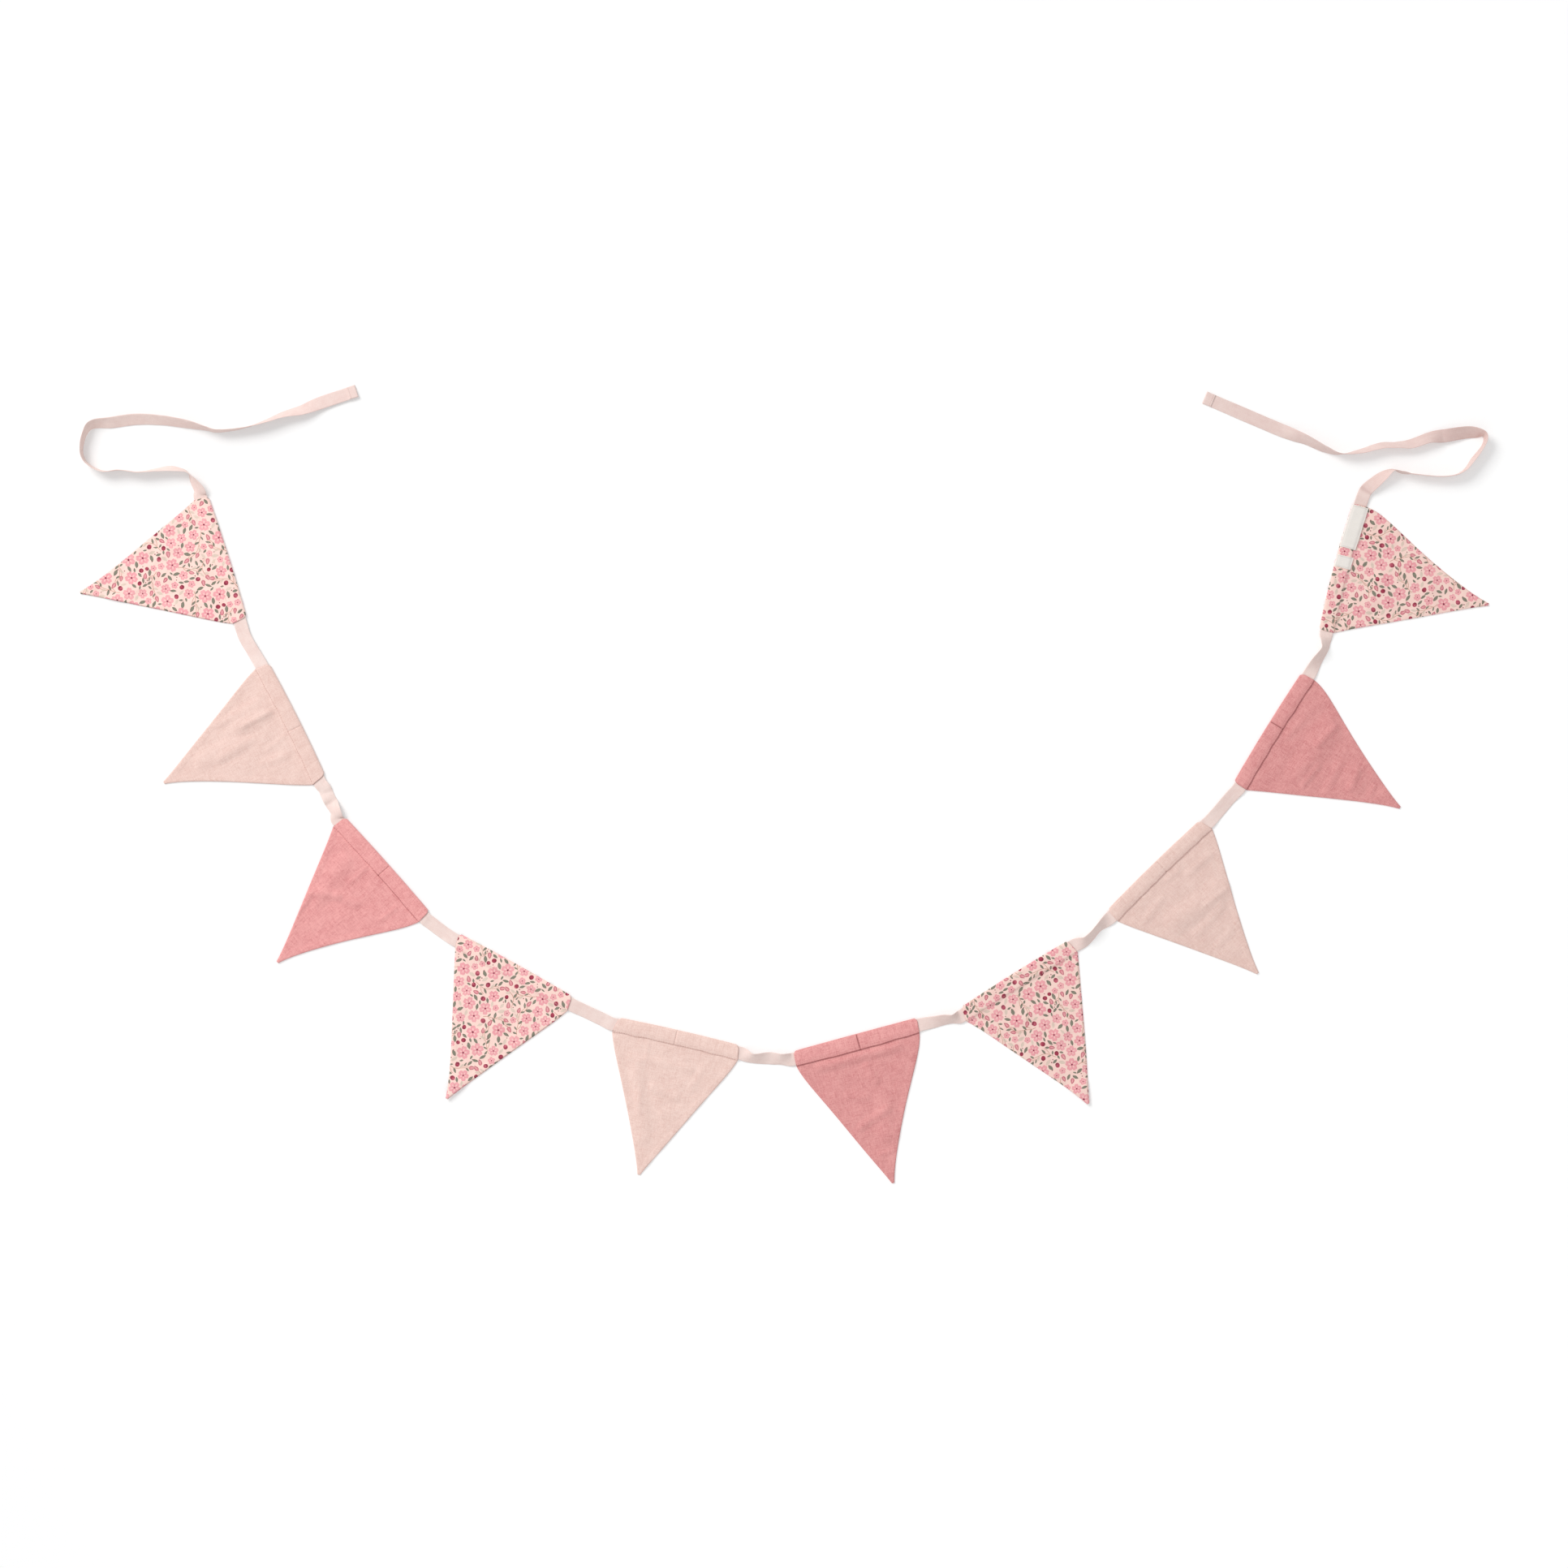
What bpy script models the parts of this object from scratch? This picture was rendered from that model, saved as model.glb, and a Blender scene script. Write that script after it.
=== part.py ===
"""Fabric bunting lying open on a surface: ten pennants threaded on one long cotton tape.

Each pennant is a two-layer triangle whose top edge is folded to the front and sewn down as a
casing. The tape runs through the ten casings in a wide U and ends in two free ties, which
stand on edge round their turns and lie flat towards their hemmed ends. The last pennant
carries two bare woven labels. Metres, +Z up, underside on z = 0.
"""
import math
from collections import namedtuple

import bmesh
import bpy
import numpy as np

MM = 0.001

# Tape, in millimetres.
TAPE_WIDTH = 16.0
TAPE_THICK = 1.0
TAPE_HEM_LENGTH = 11.0
TAPE_HEM_THICK = 2.2
TAPE_HEM_STEP = 0.5
TIE_STEP = 6.0
GAP_STEP = 5.0
SPLINE_PARTS = 12

# Pennant, in millimetres. Heights are over the surface that the cloth lies on.
CLEARANCE = 0.3
CLOTH_THICK = 2.0
CHANNEL_FLOOR = 1.0
CHANNEL_CENTRE = 9.5
CHANNEL_REACH = 3.0
CHANNEL_INSET = 3.0
CASING_DEPTH = 19.0
CORNER_CUT = 3.0
CORNER_REACH = 5.0
BOW_FADE = 60.0
EDGE_BAND = 1.5
EDGE_BAND_SHARE = 0.08
EDGE_LOW = 0.4
EDGE_HIGH = 1.6
SEAM_HALF = 0.9
SEAM_DEPTH = 0.7
TIP_BLUNT = 1.6
TIP_POWER = 14
FOLD_START = 20.4

# Section across a casing, from the folded top edge to the foot of the sewn flap.
CasingRow = namedtuple("CasingRow", "out top bottom")
CASING_ROWS = (
    CasingRow(0.0, 2.6, 0.9),
    CasingRow(1.0, 3.3, 0.0),
    CasingRow(5.0, 3.8, 0.0),
    CasingRow(13.5, 3.8, 0.0),
    CasingRow(17.6, 3.3, 0.0),
    CasingRow(18.8, 2.9, 0.0),
    CasingRow(19.1, 1.6, 0.0),
    CasingRow(FOLD_START, CLOTH_THICK, 0.0),
)
BODY_SHARES = (0.05, 0.13, 0.23, 0.35, 0.47, 0.59, 0.71, 0.82, 0.92, 0.985, 1.0)
PLAIN_COLUMNS = (0.12, 0.25, 0.375, 0.5, 0.625, 0.75, 0.88)

# One side of a pennant: how far the casing's sewn corner stands out past its folded corner, and
# how far the side swells just below the casing and lower down.
Side = namedtuple("Side", "flare shoulder belly")

# Pennants, in the order they are threaded. x and y are the middle of the top edge, turn is the
# heading of that edge in degrees, drop runs from it to the tip, tip is the tip's shift along it.
# bow is how far the top edge swells, seam the place of the casing's butt seam as a share.
Flag = namedtuple("Flag", "name cloth x y turn width drop tip bow seam first last")
FLAGS = (
    Flag("flag_01", "floral", -686.0, 280.0, -72.4, 155.5, 186.5, -12.5, 1.2, None,
         Side(0.5, -1.0, -2.5), Side(3.0, 1.5, 1.0)),
    Flag("flag_02", "light", -600.2, 79.7, -63.4, 153.0, 182.0, -3.5, 1.6, 0.04,
         Side(1.5, 1.5, 1.0), Side(4.5, 1.0, -3.0)),
    Flag("flag_03", "dark", -489.2, -98.9, -48.3, 155.5, 181.5, 0.0, 1.0, 0.02,
         Side(1.0, -0.5, -0.5), Side(1.0, 2.0, -3.0)),
    Flag("flag_04", "floral", -331.0, -222.7, -29.1, 159.0, 185.5, 6.0, 1.2, None,
         Side(-4.5, 0.0, -2.0), Side(3.5, 1.5, 0.5)),
    Flag("flag_05", "light", -129.9, -304.6, -12.9, 151.0, 183.5, -9.0, 1.2, -0.01,
         Side(4.5, 1.5, -1.0), Side(3.0, 2.0, 1.5)),
    Flag("flag_06", "dark", 86.7, -308.6, 15.2, 157.5, 189.0, -2.5, 0.3, 0.01,
         Side(1.0, 2.5, 2.0), Side(-1.5, 3.0, -2.5)),
    Flag("flag_07", "floral", 283.0, -234.0, 32.0, 154.5, 184.0, -7.5, 1.2, None,
         Side(3.5, -1.5, -1.5), Side(3.0, 0.5, 2.0)),
    Flag("flag_08", "light", 454.2, -100.1, 44.2, 157.0, 185.5, -0.5, 1.3, 0.03,
         Side(1.0, 1.0, 0.0), Side(4.5, 1.0, -1.5)),
    Flag("flag_09", "dark", 594.9, 69.6, 58.2, 157.5, 191.0, 2.0, 1.3, 0.05,
         Side(0.5, -0.5, -2.0), Side(1.0, 3.5, -1.0)),
    Flag("flag_10", "floral", 679.1, 267.9, 75.1, 160.5, 194.0, 3.0, 2.5, None,
         Side(-0.5, -0.5, 0.0), Side(0.0, 4.0, -3.0)),
)

# Soft ridges where a pennant doesn't lie flat: from one end to the other in its own frame
# (across from the middle, out from the top edge), with half-width and height.
Fold = namedtuple("Fold", "flag across_a out_a across_b out_b reach height")
FOLDS = (
    Fold("flag_01", 10.0, 150.0, -6.0, 100.0, 16.0, 1.2),
    Fold("flag_02", -26.0, 38.0, -24.0, 64.0, 17.0, 2.2),
    Fold("flag_02", -8.0, 126.0, -4.0, 76.0, 16.0, 1.5),
    Fold("flag_03", -38.0, 42.0, -26.0, 86.0, 17.0, 2.0),
    Fold("flag_04", 6.0, 185.0, 7.0, 170.0, 22.0, 3.0),
    Fold("flag_05", -40.0, 56.0, -15.0, 136.0, 14.0, 1.6),
    Fold("flag_06", -52.0, 31.0, 46.0, 30.0, 10.0, 2.4),
    Fold("flag_06", 12.0, 96.0, 8.0, 128.0, 18.0, 1.6),
    Fold("flag_07", -7.0, 184.0, -5.0, 168.0, 22.0, 2.6),
    Fold("flag_08", -30.0, 70.0, 38.0, 79.0, 20.0, 2.8),
    Fold("flag_09", -25.0, 62.0, 38.0, 66.0, 20.0, 2.8),
    Fold("flag_09", -5.0, 130.0, 9.0, 120.0, 16.0, 1.8),
    Fold("flag_10", 20.0, 80.0, 8.0, 120.0, 16.0, 1.4),
)

# Places along the tape between casings. x and y are its centre line, tilt turns it about its
# own run in degrees (0 flat, 90 on edge with its left edge up), lift raises its lower edge.
Stop = namedtuple("Stop", "x y tilt lift")
FIRST_TIE = (
    Stop(-527.0, 484.0, 8.0, 0.0),
    Stop(-569.0, 470.0, 11.0, 0.0),
    Stop(-594.5, 460.0, 36.0, 0.0),
    Stop(-616.5, 454.5, 57.0, 0.0),
    Stop(-641.5, 445.0, 73.0, 0.0),
    Stop(-667.0, 437.5, 88.0, 0.0),
    Stop(-696.5, 434.0, 97.0, 0.0),
    Stop(-712.0, 437.3, 104.0, 0.0),
    Stop(-734.5, 442.5, 124.0, 0.0),
    Stop(-766.5, 447.5, 134.0, 0.0),
    Stop(-798.5, 448.7, 143.0, 0.0),
    Stop(-828.5, 444.7, 141.0, 0.0),
    Stop(-850.0, 442.5, 126.0, 0.0),
    Stop(-859.5, 433.5, 103.0, 0.0),
    Stop(-864.5, 416.0, 94.0, 0.0),
    Stop(-863.0, 401.5, 93.0, 0.0),
    Stop(-853.5, 391.0, 95.0, 0.0),
    Stop(-838.0, 384.5, 98.0, 0.0),
    Stop(-818.0, 386.0, 94.0, 0.0),
    Stop(-796.0, 383.5, 97.0, 0.0),
    Stop(-776.5, 385.8, 106.0, 0.0),
    Stop(-758.0, 388.0, 117.0, 0.0),
    Stop(-743.0, 386.3, 108.0, 0.0),
    Stop(-734.0, 382.5, 92.0, 0.0),
    Stop(-728.5, 374.0, 70.0, 0.0),
    Stop(-720.5, 362.0, 52.0, 0.5),
)
LAST_TIE = (
    Stop(715.5, 360.5, -8.0, 0.8),
    Stop(726.0, 370.5, -25.0, 0.4),
    Stop(737.0, 379.5, -46.0, 0.0),
    Stop(748.5, 386.3, -78.0, 0.0),
    Stop(760.0, 383.0, -94.0, 0.0),
    Stop(778.0, 380.5, -82.0, 0.0),
    Stop(811.5, 378.2, -84.0, 0.0),
    Stop(833.5, 383.5, -86.0, 0.0),
    Stop(848.5, 401.0, -78.0, 0.0),
    Stop(860.5, 418.0, -84.0, 0.0),
    Stop(861.5, 429.0, -78.0, 0.0),
    Stop(852.0, 432.0, -45.0, 0.0),
    Stop(838.5, 432.5, -25.0, 1.0),
    Stop(812.5, 428.5, -3.0, 4.0),
    Stop(793.5, 426.0, 32.0, 2.0),
    Stop(771.5, 418.5, 40.0, 1.0),
    Stop(753.5, 417.0, 57.0, 0.0),
    Stop(733.5, 416.0, 58.0, 0.0),
    Stop(708.5, 409.0, 68.0, 0.0),
    Stop(683.5, 405.8, 90.0, 0.0),
    Stop(663.5, 412.3, 114.0, 0.0),
    Stop(643.5, 422.5, 127.0, 0.0),
    Stop(626.5, 429.5, 150.0, 0.0),
    Stop(608.5, 437.0, 172.0, 0.0),
    Stop(573.5, 452.0, 178.0, 0.0),
    Stop(517.5, 476.0, 176.0, 0.0),
)
GAPS = (
    (Stop(-664.5, 180.5, 6.0, 0.0), Stop(-655.0, 164.0, 6.0, 0.0)),
    (Stop(-566.5, -6.0, 8.0, 0.0), Stop(-560.5, -19.0, -8.0, 0.0), Stop(-552.5, -34.0, 30.0, 0.0)),
    (Stop(-436.0, -171.0, 3.0, 0.0), Stop(-419.5, -183.5, 3.0, 0.0)),
    (Stop(-245.5, -280.0, 4.0, 0.0), Stop(-224.5, -290.0, 3.0, 0.0)),
    (Stop(-39.5, -337.7, 40.0, 0.0), Stop(-18.5, -337.7, 16.0, 0.0), Stop(-3.5, -339.0, 30.0, 0.0)),
    (Stop(183.5, -293.3, 18.0, 0.0), Stop(196.5, -290.3, 33.0, 0.0), Stop(207.5, -289.3, 42.0, 0.0)),
    (Stop(369.5, -194.5, 36.0, 0.0), Stop(377.5, -187.5, 47.0, 0.0), Stop(387.5, -176.3, 48.0, 0.0)),
    (Stop(533.5, -35.0, 8.0, 0.0), Stop(547.5, -18.5, 8.0, 0.0)),
    (Stop(655.0, 150.5, 30.0, 0.0), Stop(664.5, 165.0, 48.0, 0.0), Stop(666.3, 174.5, 36.0, 0.0)),
)

# Labels on the last casing: distance from its far end to the near and far side of each.
Label = namedtuple("Label", "name near far")
LABELS = (
    Label("label_long", 1.2, 55.2),
    Label("label_small", 65.2, 80.2),
)
LABEL_THICK = 0.8
LABEL_PARTS = 5
LabelRow = namedtuple("LabelRow", "out under")
LABEL_ROWS = (
    LabelRow(0.8, 3.6),
    LabelRow(5.0, 4.1),
    LabelRow(13.5, 4.1),
    LabelRow(17.6, 3.7),
    LabelRow(20.0, 3.3),
)

# Finish of each cloth: colour and roughness.
FINISHES = {
    "floral": ((0.87, 0.66, 0.60), 0.90),
    "light": ((0.87, 0.64, 0.57), 0.92),
    "dark": ((0.76, 0.33, 0.32), 0.92),
    "tape": ((0.86, 0.63, 0.59), 0.85),
    "label": ((0.86, 0.84, 0.78), 0.80),
}


def clear_scene():
    """Removes every object that the scene opens with."""
    for old in list(bpy.data.objects):
        bpy.data.objects.remove(old, do_unlink=True)


def make_material(name, colour, roughness):
    """Returns a Principled material of one colour and roughness."""
    material = bpy.data.materials.new(name)
    material.use_nodes = True
    shader = material.node_tree.nodes["Principled BSDF"]
    shader.inputs["Base Color"].default_value = (*colour, 1.0)
    shader.inputs["Roughness"].default_value = roughness
    shader.inputs["Metallic"].default_value = 0.0
    return material


def flag_axes(flag):
    """Returns the flag's middle, its unit vector along the top edge and the one to its tip."""
    turn = math.radians(flag.turn)
    middle = np.array([flag.x, flag.y])
    along = np.array([math.cos(turn), math.sin(turn)])
    out = np.array([math.sin(turn), -math.cos(turn)])
    return middle, along, out


def flag_place(flag, across, out):
    """Returns x, y of a point of the flag, with the top edge bowed outwards at its middle."""
    middle, along, outward = flag_axes(flag)
    fade = np.clip(1.0 - (out - FOLD_START) / BOW_FADE, 0.0, 1.0)
    bow = flag.bow * (1.0 - (2.0 * across / flag.width) ** 2) * fade
    return middle + across * along + (out - bow) * outward


def side_reach(flag, out, side, tip):
    """Returns how far one side of the flag stands from its middle line at a distance out."""
    half = flag.width / 2.0
    corner = CORNER_CUT * max(0.0, 1.0 - out / CORNER_REACH) ** 2
    if out <= CASING_DEPTH:
        return half + side.flare * out / CASING_DEPTH - corner
    share = (out - CASING_DEPTH) / (flag.drop - CASING_DEPTH)
    straight = (1.0 - share) * (half + side.flare) + share * tip
    near = side.shoulder * share * (1.0 - share) ** 6 / 0.0567
    low = side.belly * share ** 2 * (1.0 - share) / 0.148
    return straight + near + low + TIP_BLUNT * share ** TIP_POWER


def fold_lift(flag, across, out):
    """Returns how high the flag's folds raise it: a smooth ridge round each fold's line."""
    lift = 0.0
    for fold in FOLDS:
        if fold.flag != flag.name:
            continue
        first = np.array([fold.across_a, fold.out_a])
        run = np.array([fold.across_b, fold.out_b]) - first
        point = np.array([across, out]) - first
        share = min(1.0, max(0.0, float(point @ run) / float(run @ run)))
        away = float(np.linalg.norm(point - share * run)) / fold.reach
        if away < 1.0:
            lift = max(lift, fold.height * (1.0 - away ** 2) ** 2)
    return lift


def flag_columns(flag, span):
    """Returns the shares across the flag where its mesh has a line, edge band and seam too."""
    band = min(EDGE_BAND / span, EDGE_BAND_SHARE)
    inner = list(PLAIN_COLUMNS)
    if flag.seam is not None:
        middle = 0.5 + flag.seam
        half = SEAM_HALF / flag.width
        inner[3:4] = [middle - half, middle, middle + half]
    return [0.0, band] + inner + [1.0 - band, 1.0]


def flag_rows(flag):
    """Returns the rows of the flag's mesh from top edge to tip as CasingRow tuples."""
    rows = list(CASING_ROWS)
    for share in BODY_SHARES:
        out = FOLD_START + share * (flag.drop - FOLD_START)
        rows.append(CasingRow(out, CLOTH_THICK, 0.0))
    return rows


def flag_point(flag, row, columns, index):
    """Returns the flag's upper and lower point at one row and column, in metres."""
    low = -side_reach(flag, row.out, flag.first, -flag.tip)
    high = side_reach(flag, row.out, flag.last, flag.tip)
    across = low + columns[index] * (high - low)
    x, y = flag_place(flag, across, row.out)
    lift = fold_lift(flag, across, row.out) if row.out > FOLD_START else 0.0
    top = row.top + lift
    bottom = row.bottom + lift
    at_edge = index in (0, len(columns) - 1) or row.out >= flag.drop
    if at_edge and row.out >= FOLD_START:
        top = EDGE_HIGH + lift
        bottom = EDGE_LOW + lift
    on_casing = CASING_ROWS[0].out < row.out < CASING_DEPTH
    if flag.seam is not None and on_casing and index == len(columns) // 2:
        top -= SEAM_DEPTH
    return (x * MM, y * MM, top * MM), (x * MM, y * MM, bottom * MM)


def flag_mesh(flag):
    """Returns the flag's closed mesh: an upper and a lower face grid joined by a rim."""
    bm = bmesh.new()
    upper = []
    lower = []
    for row in flag_rows(flag):
        span = side_reach(flag, row.out, flag.first, -flag.tip)
        span += side_reach(flag, row.out, flag.last, flag.tip)
        columns = flag_columns(flag, span)
        pairs = [flag_point(flag, row, columns, index) for index in range(len(columns))]
        upper.append([bm.verts.new(pair[0]) for pair in pairs])
        lower.append([bm.verts.new(pair[1]) for pair in pairs])
    join_layers(bm, upper, lower)
    return finish_mesh(bm, flag.name)


def join_layers(bm, upper, lower):
    """Fills two point grids with faces and joins their four borders by a rim."""
    rows = len(upper)
    columns = len(upper[0])
    for r in range(rows - 1):
        for c in range(columns - 1):
            bm.faces.new((upper[r][c], upper[r][c + 1], upper[r + 1][c + 1], upper[r + 1][c]))
            bm.faces.new((lower[r][c], lower[r + 1][c], lower[r + 1][c + 1], lower[r][c + 1]))
    for r in range(rows - 1):
        for c in (0, columns - 1):
            bm.faces.new((upper[r][c], upper[r + 1][c], lower[r + 1][c], lower[r][c]))
    for c in range(columns - 1):
        for r in (0, rows - 1):
            bm.faces.new((upper[r][c], upper[r][c + 1], lower[r][c + 1], lower[r][c]))


def finish_mesh(bm, name):
    """Turns every face outwards and returns the mesh."""
    bmesh.ops.recalc_face_normals(bm, faces=bm.faces)
    mesh = bpy.data.meshes.new(name)
    bm.to_mesh(mesh)
    bm.free()
    return mesh


def channel_line(flag):
    """Returns the tape's stops inside one casing: flat, on the channel's floor."""
    half = flag.width / 2.0
    start = -half - max(0.0, flag.first.flare) - CHANNEL_REACH
    end = half + max(0.0, flag.last.flare) + CHANNEL_REACH
    inner = half - CHANNEL_INSET
    lift = CHANNEL_FLOOR + CLEARANCE
    stops = []
    for across in (start, -inner, -half / 3.0, half / 3.0, inner, end):
        x, y = flag_place(flag, across, CHANNEL_CENTRE)
        stops.append(Stop(float(x), float(y), 0.0, lift))
    return stops


def spline_span(before, start, end, after, parts):
    """Returns points of a Catmull-Rom span from start to end, start included."""
    result = []
    for k in range(parts):
        t = k / parts
        point = 0.5 * (
            2.0 * start
            + (end - before) * t
            + (2.0 * before - 5.0 * start + 4.0 * end - after) * t ** 2
            + (3.0 * start - before - 3.0 * end + after) * t ** 3
        )
        result.append(point)
    return result


def smooth_run(stops, lead, tail):
    """Returns a dense smooth line through the stops, heading in from lead and out to tail."""
    rows = [np.array(stop) for stop in stops]
    first = np.array(lead) if lead is not None else 2.0 * rows[0] - rows[1]
    last = np.array(tail) if tail is not None else 2.0 * rows[-1] - rows[-2]
    rows = [first] + rows + [last]
    line = []
    for i in range(1, len(rows) - 2):
        line += spline_span(rows[i - 1], rows[i], rows[i + 1], rows[i + 2], SPLINE_PARTS)
    line.append(rows[-2])
    return np.array(line)


def read_at(line, distances):
    """Returns the line's rows at the given distances along it."""
    steps = np.linalg.norm(np.diff(line[:, :2], axis=0), axis=1)
    travelled = np.concatenate([[0.0], np.cumsum(steps)])
    columns = [np.interp(distances, travelled, line[:, k]) for k in range(line.shape[1])]
    return np.stack(columns, axis=1)


def line_length(line):
    """Returns the length of a line of x, y, tilt, lift rows."""
    return float(np.linalg.norm(np.diff(line[:, :2], axis=0), axis=1).sum())


def even_distances(start, end, step):
    """Returns distances from start to end, about a step apart."""
    return np.linspace(start, end, max(2, round((end - start) / step) + 1))


def tape_rows():
    """Returns the tape's x, y, tilt, lift and thickness rows from one free end to the other."""
    channels = [channel_line(flag) for flag in FLAGS]
    hem = [0.0, TAPE_HEM_LENGTH]
    rows = []
    first = smooth_run(FIRST_TIE + (channels[0][0],), None, channels[0][1])
    free = even_distances(TAPE_HEM_LENGTH + TAPE_HEM_STEP, line_length(first), TIE_STEP)
    rows.append(with_thickness(read_at(first, hem), TAPE_HEM_THICK))
    rows.append(with_thickness(read_at(first, free)[:-1], TAPE_THICK))
    for index, channel in enumerate(channels):
        rows.append(with_thickness(np.array(channel), TAPE_THICK))
        if index == len(channels) - 1:
            break
        follow = channels[index + 1]
        stops = (channel[-1],) + GAPS[index] + (follow[0],)
        gap = smooth_run(stops, channel[-2], follow[1])
        between = even_distances(0.0, line_length(gap), GAP_STEP)
        rows.append(with_thickness(read_at(gap, between)[1:-1], TAPE_THICK))
    last = smooth_run((channels[-1][-1],) + LAST_TIE, channels[-1][-2], None)
    total = line_length(last)
    free = even_distances(0.0, total - TAPE_HEM_LENGTH - TAPE_HEM_STEP, TIE_STEP)
    rows.append(with_thickness(read_at(last, free)[1:], TAPE_THICK))
    rows.append(with_thickness(read_at(last, [total - TAPE_HEM_LENGTH, total]), TAPE_HEM_THICK))
    return np.concatenate(rows)


def with_thickness(rows, thickness):
    """Adds a thickness column to x, y, tilt, lift rows."""
    return np.column_stack([rows, np.full(len(rows), thickness)])


def band_corners(rows, width, thickness):
    """Returns the four corners of a flat band's section at each row, in metres.

    The band's width leans by the tilt from the left of its run towards +Z, and its lowest
    corner is at the row's lift.
    """
    ahead = np.gradient(rows[:, :2], axis=0)
    ahead /= np.linalg.norm(ahead, axis=1)[:, None]
    tilt = np.radians(rows[:, 2])
    flat = np.zeros(len(rows))
    run = np.column_stack([ahead, flat])
    left = np.column_stack([-ahead[:, 1], ahead[:, 0], flat])
    up = np.column_stack([flat, flat, flat + 1.0])
    across = np.cos(tilt)[:, None] * left + np.sin(tilt)[:, None] * up
    face = np.cross(run, across)
    rise = np.maximum(rows[:, 3], 0.0)
    rise = rise + 0.5 * (width * np.abs(np.sin(tilt)) + thickness * np.abs(np.cos(tilt)))
    centre = np.column_stack([rows[:, :2], rise])
    corners = []
    for side, lay in ((-1, -1), (1, -1), (1, 1), (-1, 1)):
        half_width = 0.5 * side * width
        half_thick = (0.5 * lay * thickness)[:, None]
        corners.append((centre + half_width * across + half_thick * face) * MM)
    return np.stack(corners, axis=1)


def band_mesh(name, corners):
    """Returns a closed mesh of a band from its four corners at each row.

    Both broad faces are cut along the same diagonal, so they stay parallel where it twists.
    """
    bm = bmesh.new()
    rings = [[bm.verts.new(tuple(point)) for point in ring] for ring in corners]
    for near, far in zip(rings[:-1], rings[1:]):
        for k, n in ((0, 1), (1, 2)):
            bm.faces.new((near[k], near[n], far[n]))
            bm.faces.new((near[k], far[n], far[k]))
        for k, n in ((2, 3), (3, 0)):
            bm.faces.new((near[k], near[n], far[k]))
            bm.faces.new((near[n], far[n], far[k]))
    bm.faces.new(rings[0])
    bm.faces.new(rings[-1])
    return finish_mesh(bm, name)


def channel_mesh(flag):
    """Returns the closed mesh of the channel that the tape runs through."""
    rows = np.array(channel_line(flag))
    rows[:, 3] -= CLEARANCE
    thickness = np.full(len(rows), TAPE_THICK + 2.0 * CLEARANCE)
    corners = band_corners(rows, TAPE_WIDTH + 2.0 * CLEARANCE, thickness)
    return band_mesh("channel_" + flag.name, corners)


def label_mesh(label, flag):
    """Returns a thin label that follows the casing's section and its bowed edge."""
    bm = bmesh.new()
    upper = []
    lower = []
    ends = np.linspace(flag.width / 2.0 - label.far, flag.width / 2.0 - label.near, LABEL_PARTS)
    for row in LABEL_ROWS:
        places = [flag_place(flag, across, row.out) * MM for across in ends]
        high = (row.under + LABEL_THICK) * MM
        upper.append([bm.verts.new((x, y, high)) for x, y in places])
        lower.append([bm.verts.new((x, y, row.under * MM)) for x, y in places])
    join_layers(bm, upper, lower)
    return finish_mesh(bm, label.name)


def centre_on_floor(meshes, guides):
    """Moves all the meshes so that their box stands centred over the origin, on z = 0."""
    points = np.array([vertex.co[:] for mesh in meshes for vertex in mesh.vertices])
    low = points.min(axis=0)
    high = points.max(axis=0)
    shift = (-(low[0] + high[0]) / 2.0, -(low[1] + high[1]) / 2.0, -low[2])
    for mesh in meshes + guides:
        for vertex in mesh.vertices:
            vertex.co.x += shift[0]
            vertex.co.y += shift[1]
            vertex.co.z += shift[2]


def add_object(name, mesh, material):
    """Adds a mesh to the scene as one named sub-part."""
    mesh.materials.append(material)
    piece = bpy.data.objects.new(name, mesh)
    bpy.context.scene.collection.objects.link(piece)
    return piece


def cut_channel(piece, mesh):
    """Cuts the tape's channel through a casing with a hidden guide."""
    guide = bpy.data.objects.new(mesh.name, mesh)
    bpy.context.scene.collection.objects.link(guide)
    guide.hide_render = True
    guide.display_type = "WIRE"
    cut = piece.modifiers.new("channel", "BOOLEAN")
    cut.operation = "DIFFERENCE"
    cut.solver = "EXACT"
    cut.object = guide


def main():
    """Builds the tape, the ten pennants with their channels, and the two labels."""
    clear_scene()
    finishes = {name: make_material(name, *values) for name, values in FINISHES.items()}
    rows = tape_rows()
    tape = band_mesh("tape", band_corners(rows, TAPE_WIDTH, rows[:, 4]))
    flags = [flag_mesh(flag) for flag in FLAGS]
    channels = [channel_mesh(flag) for flag in FLAGS]
    labels = [label_mesh(label, FLAGS[-1]) for label in LABELS]
    centre_on_floor([tape] + flags + labels, channels)
    add_object("tape", tape, finishes["tape"])
    for flag, mesh, channel in zip(FLAGS, flags, channels):
        cut_channel(add_object(flag.name, mesh, finishes[flag.cloth]), channel)
    for label, mesh in zip(LABELS, labels):
        add_object(label.name, mesh, finishes["label"])


main()
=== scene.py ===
"""Looks of the fabric bunting: printed and plain pennants, their tape, labels and sewing.

The tables give places and sizes in millimetres, seen from above, with the origin at the middle
of the bunting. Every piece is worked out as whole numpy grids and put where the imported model
has its node.
"""
import logging
import math
from dataclasses import dataclass, field
from enum import Enum

import bpy
import numpy as np
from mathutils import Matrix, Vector
from numpy.typing import NDArray


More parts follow.
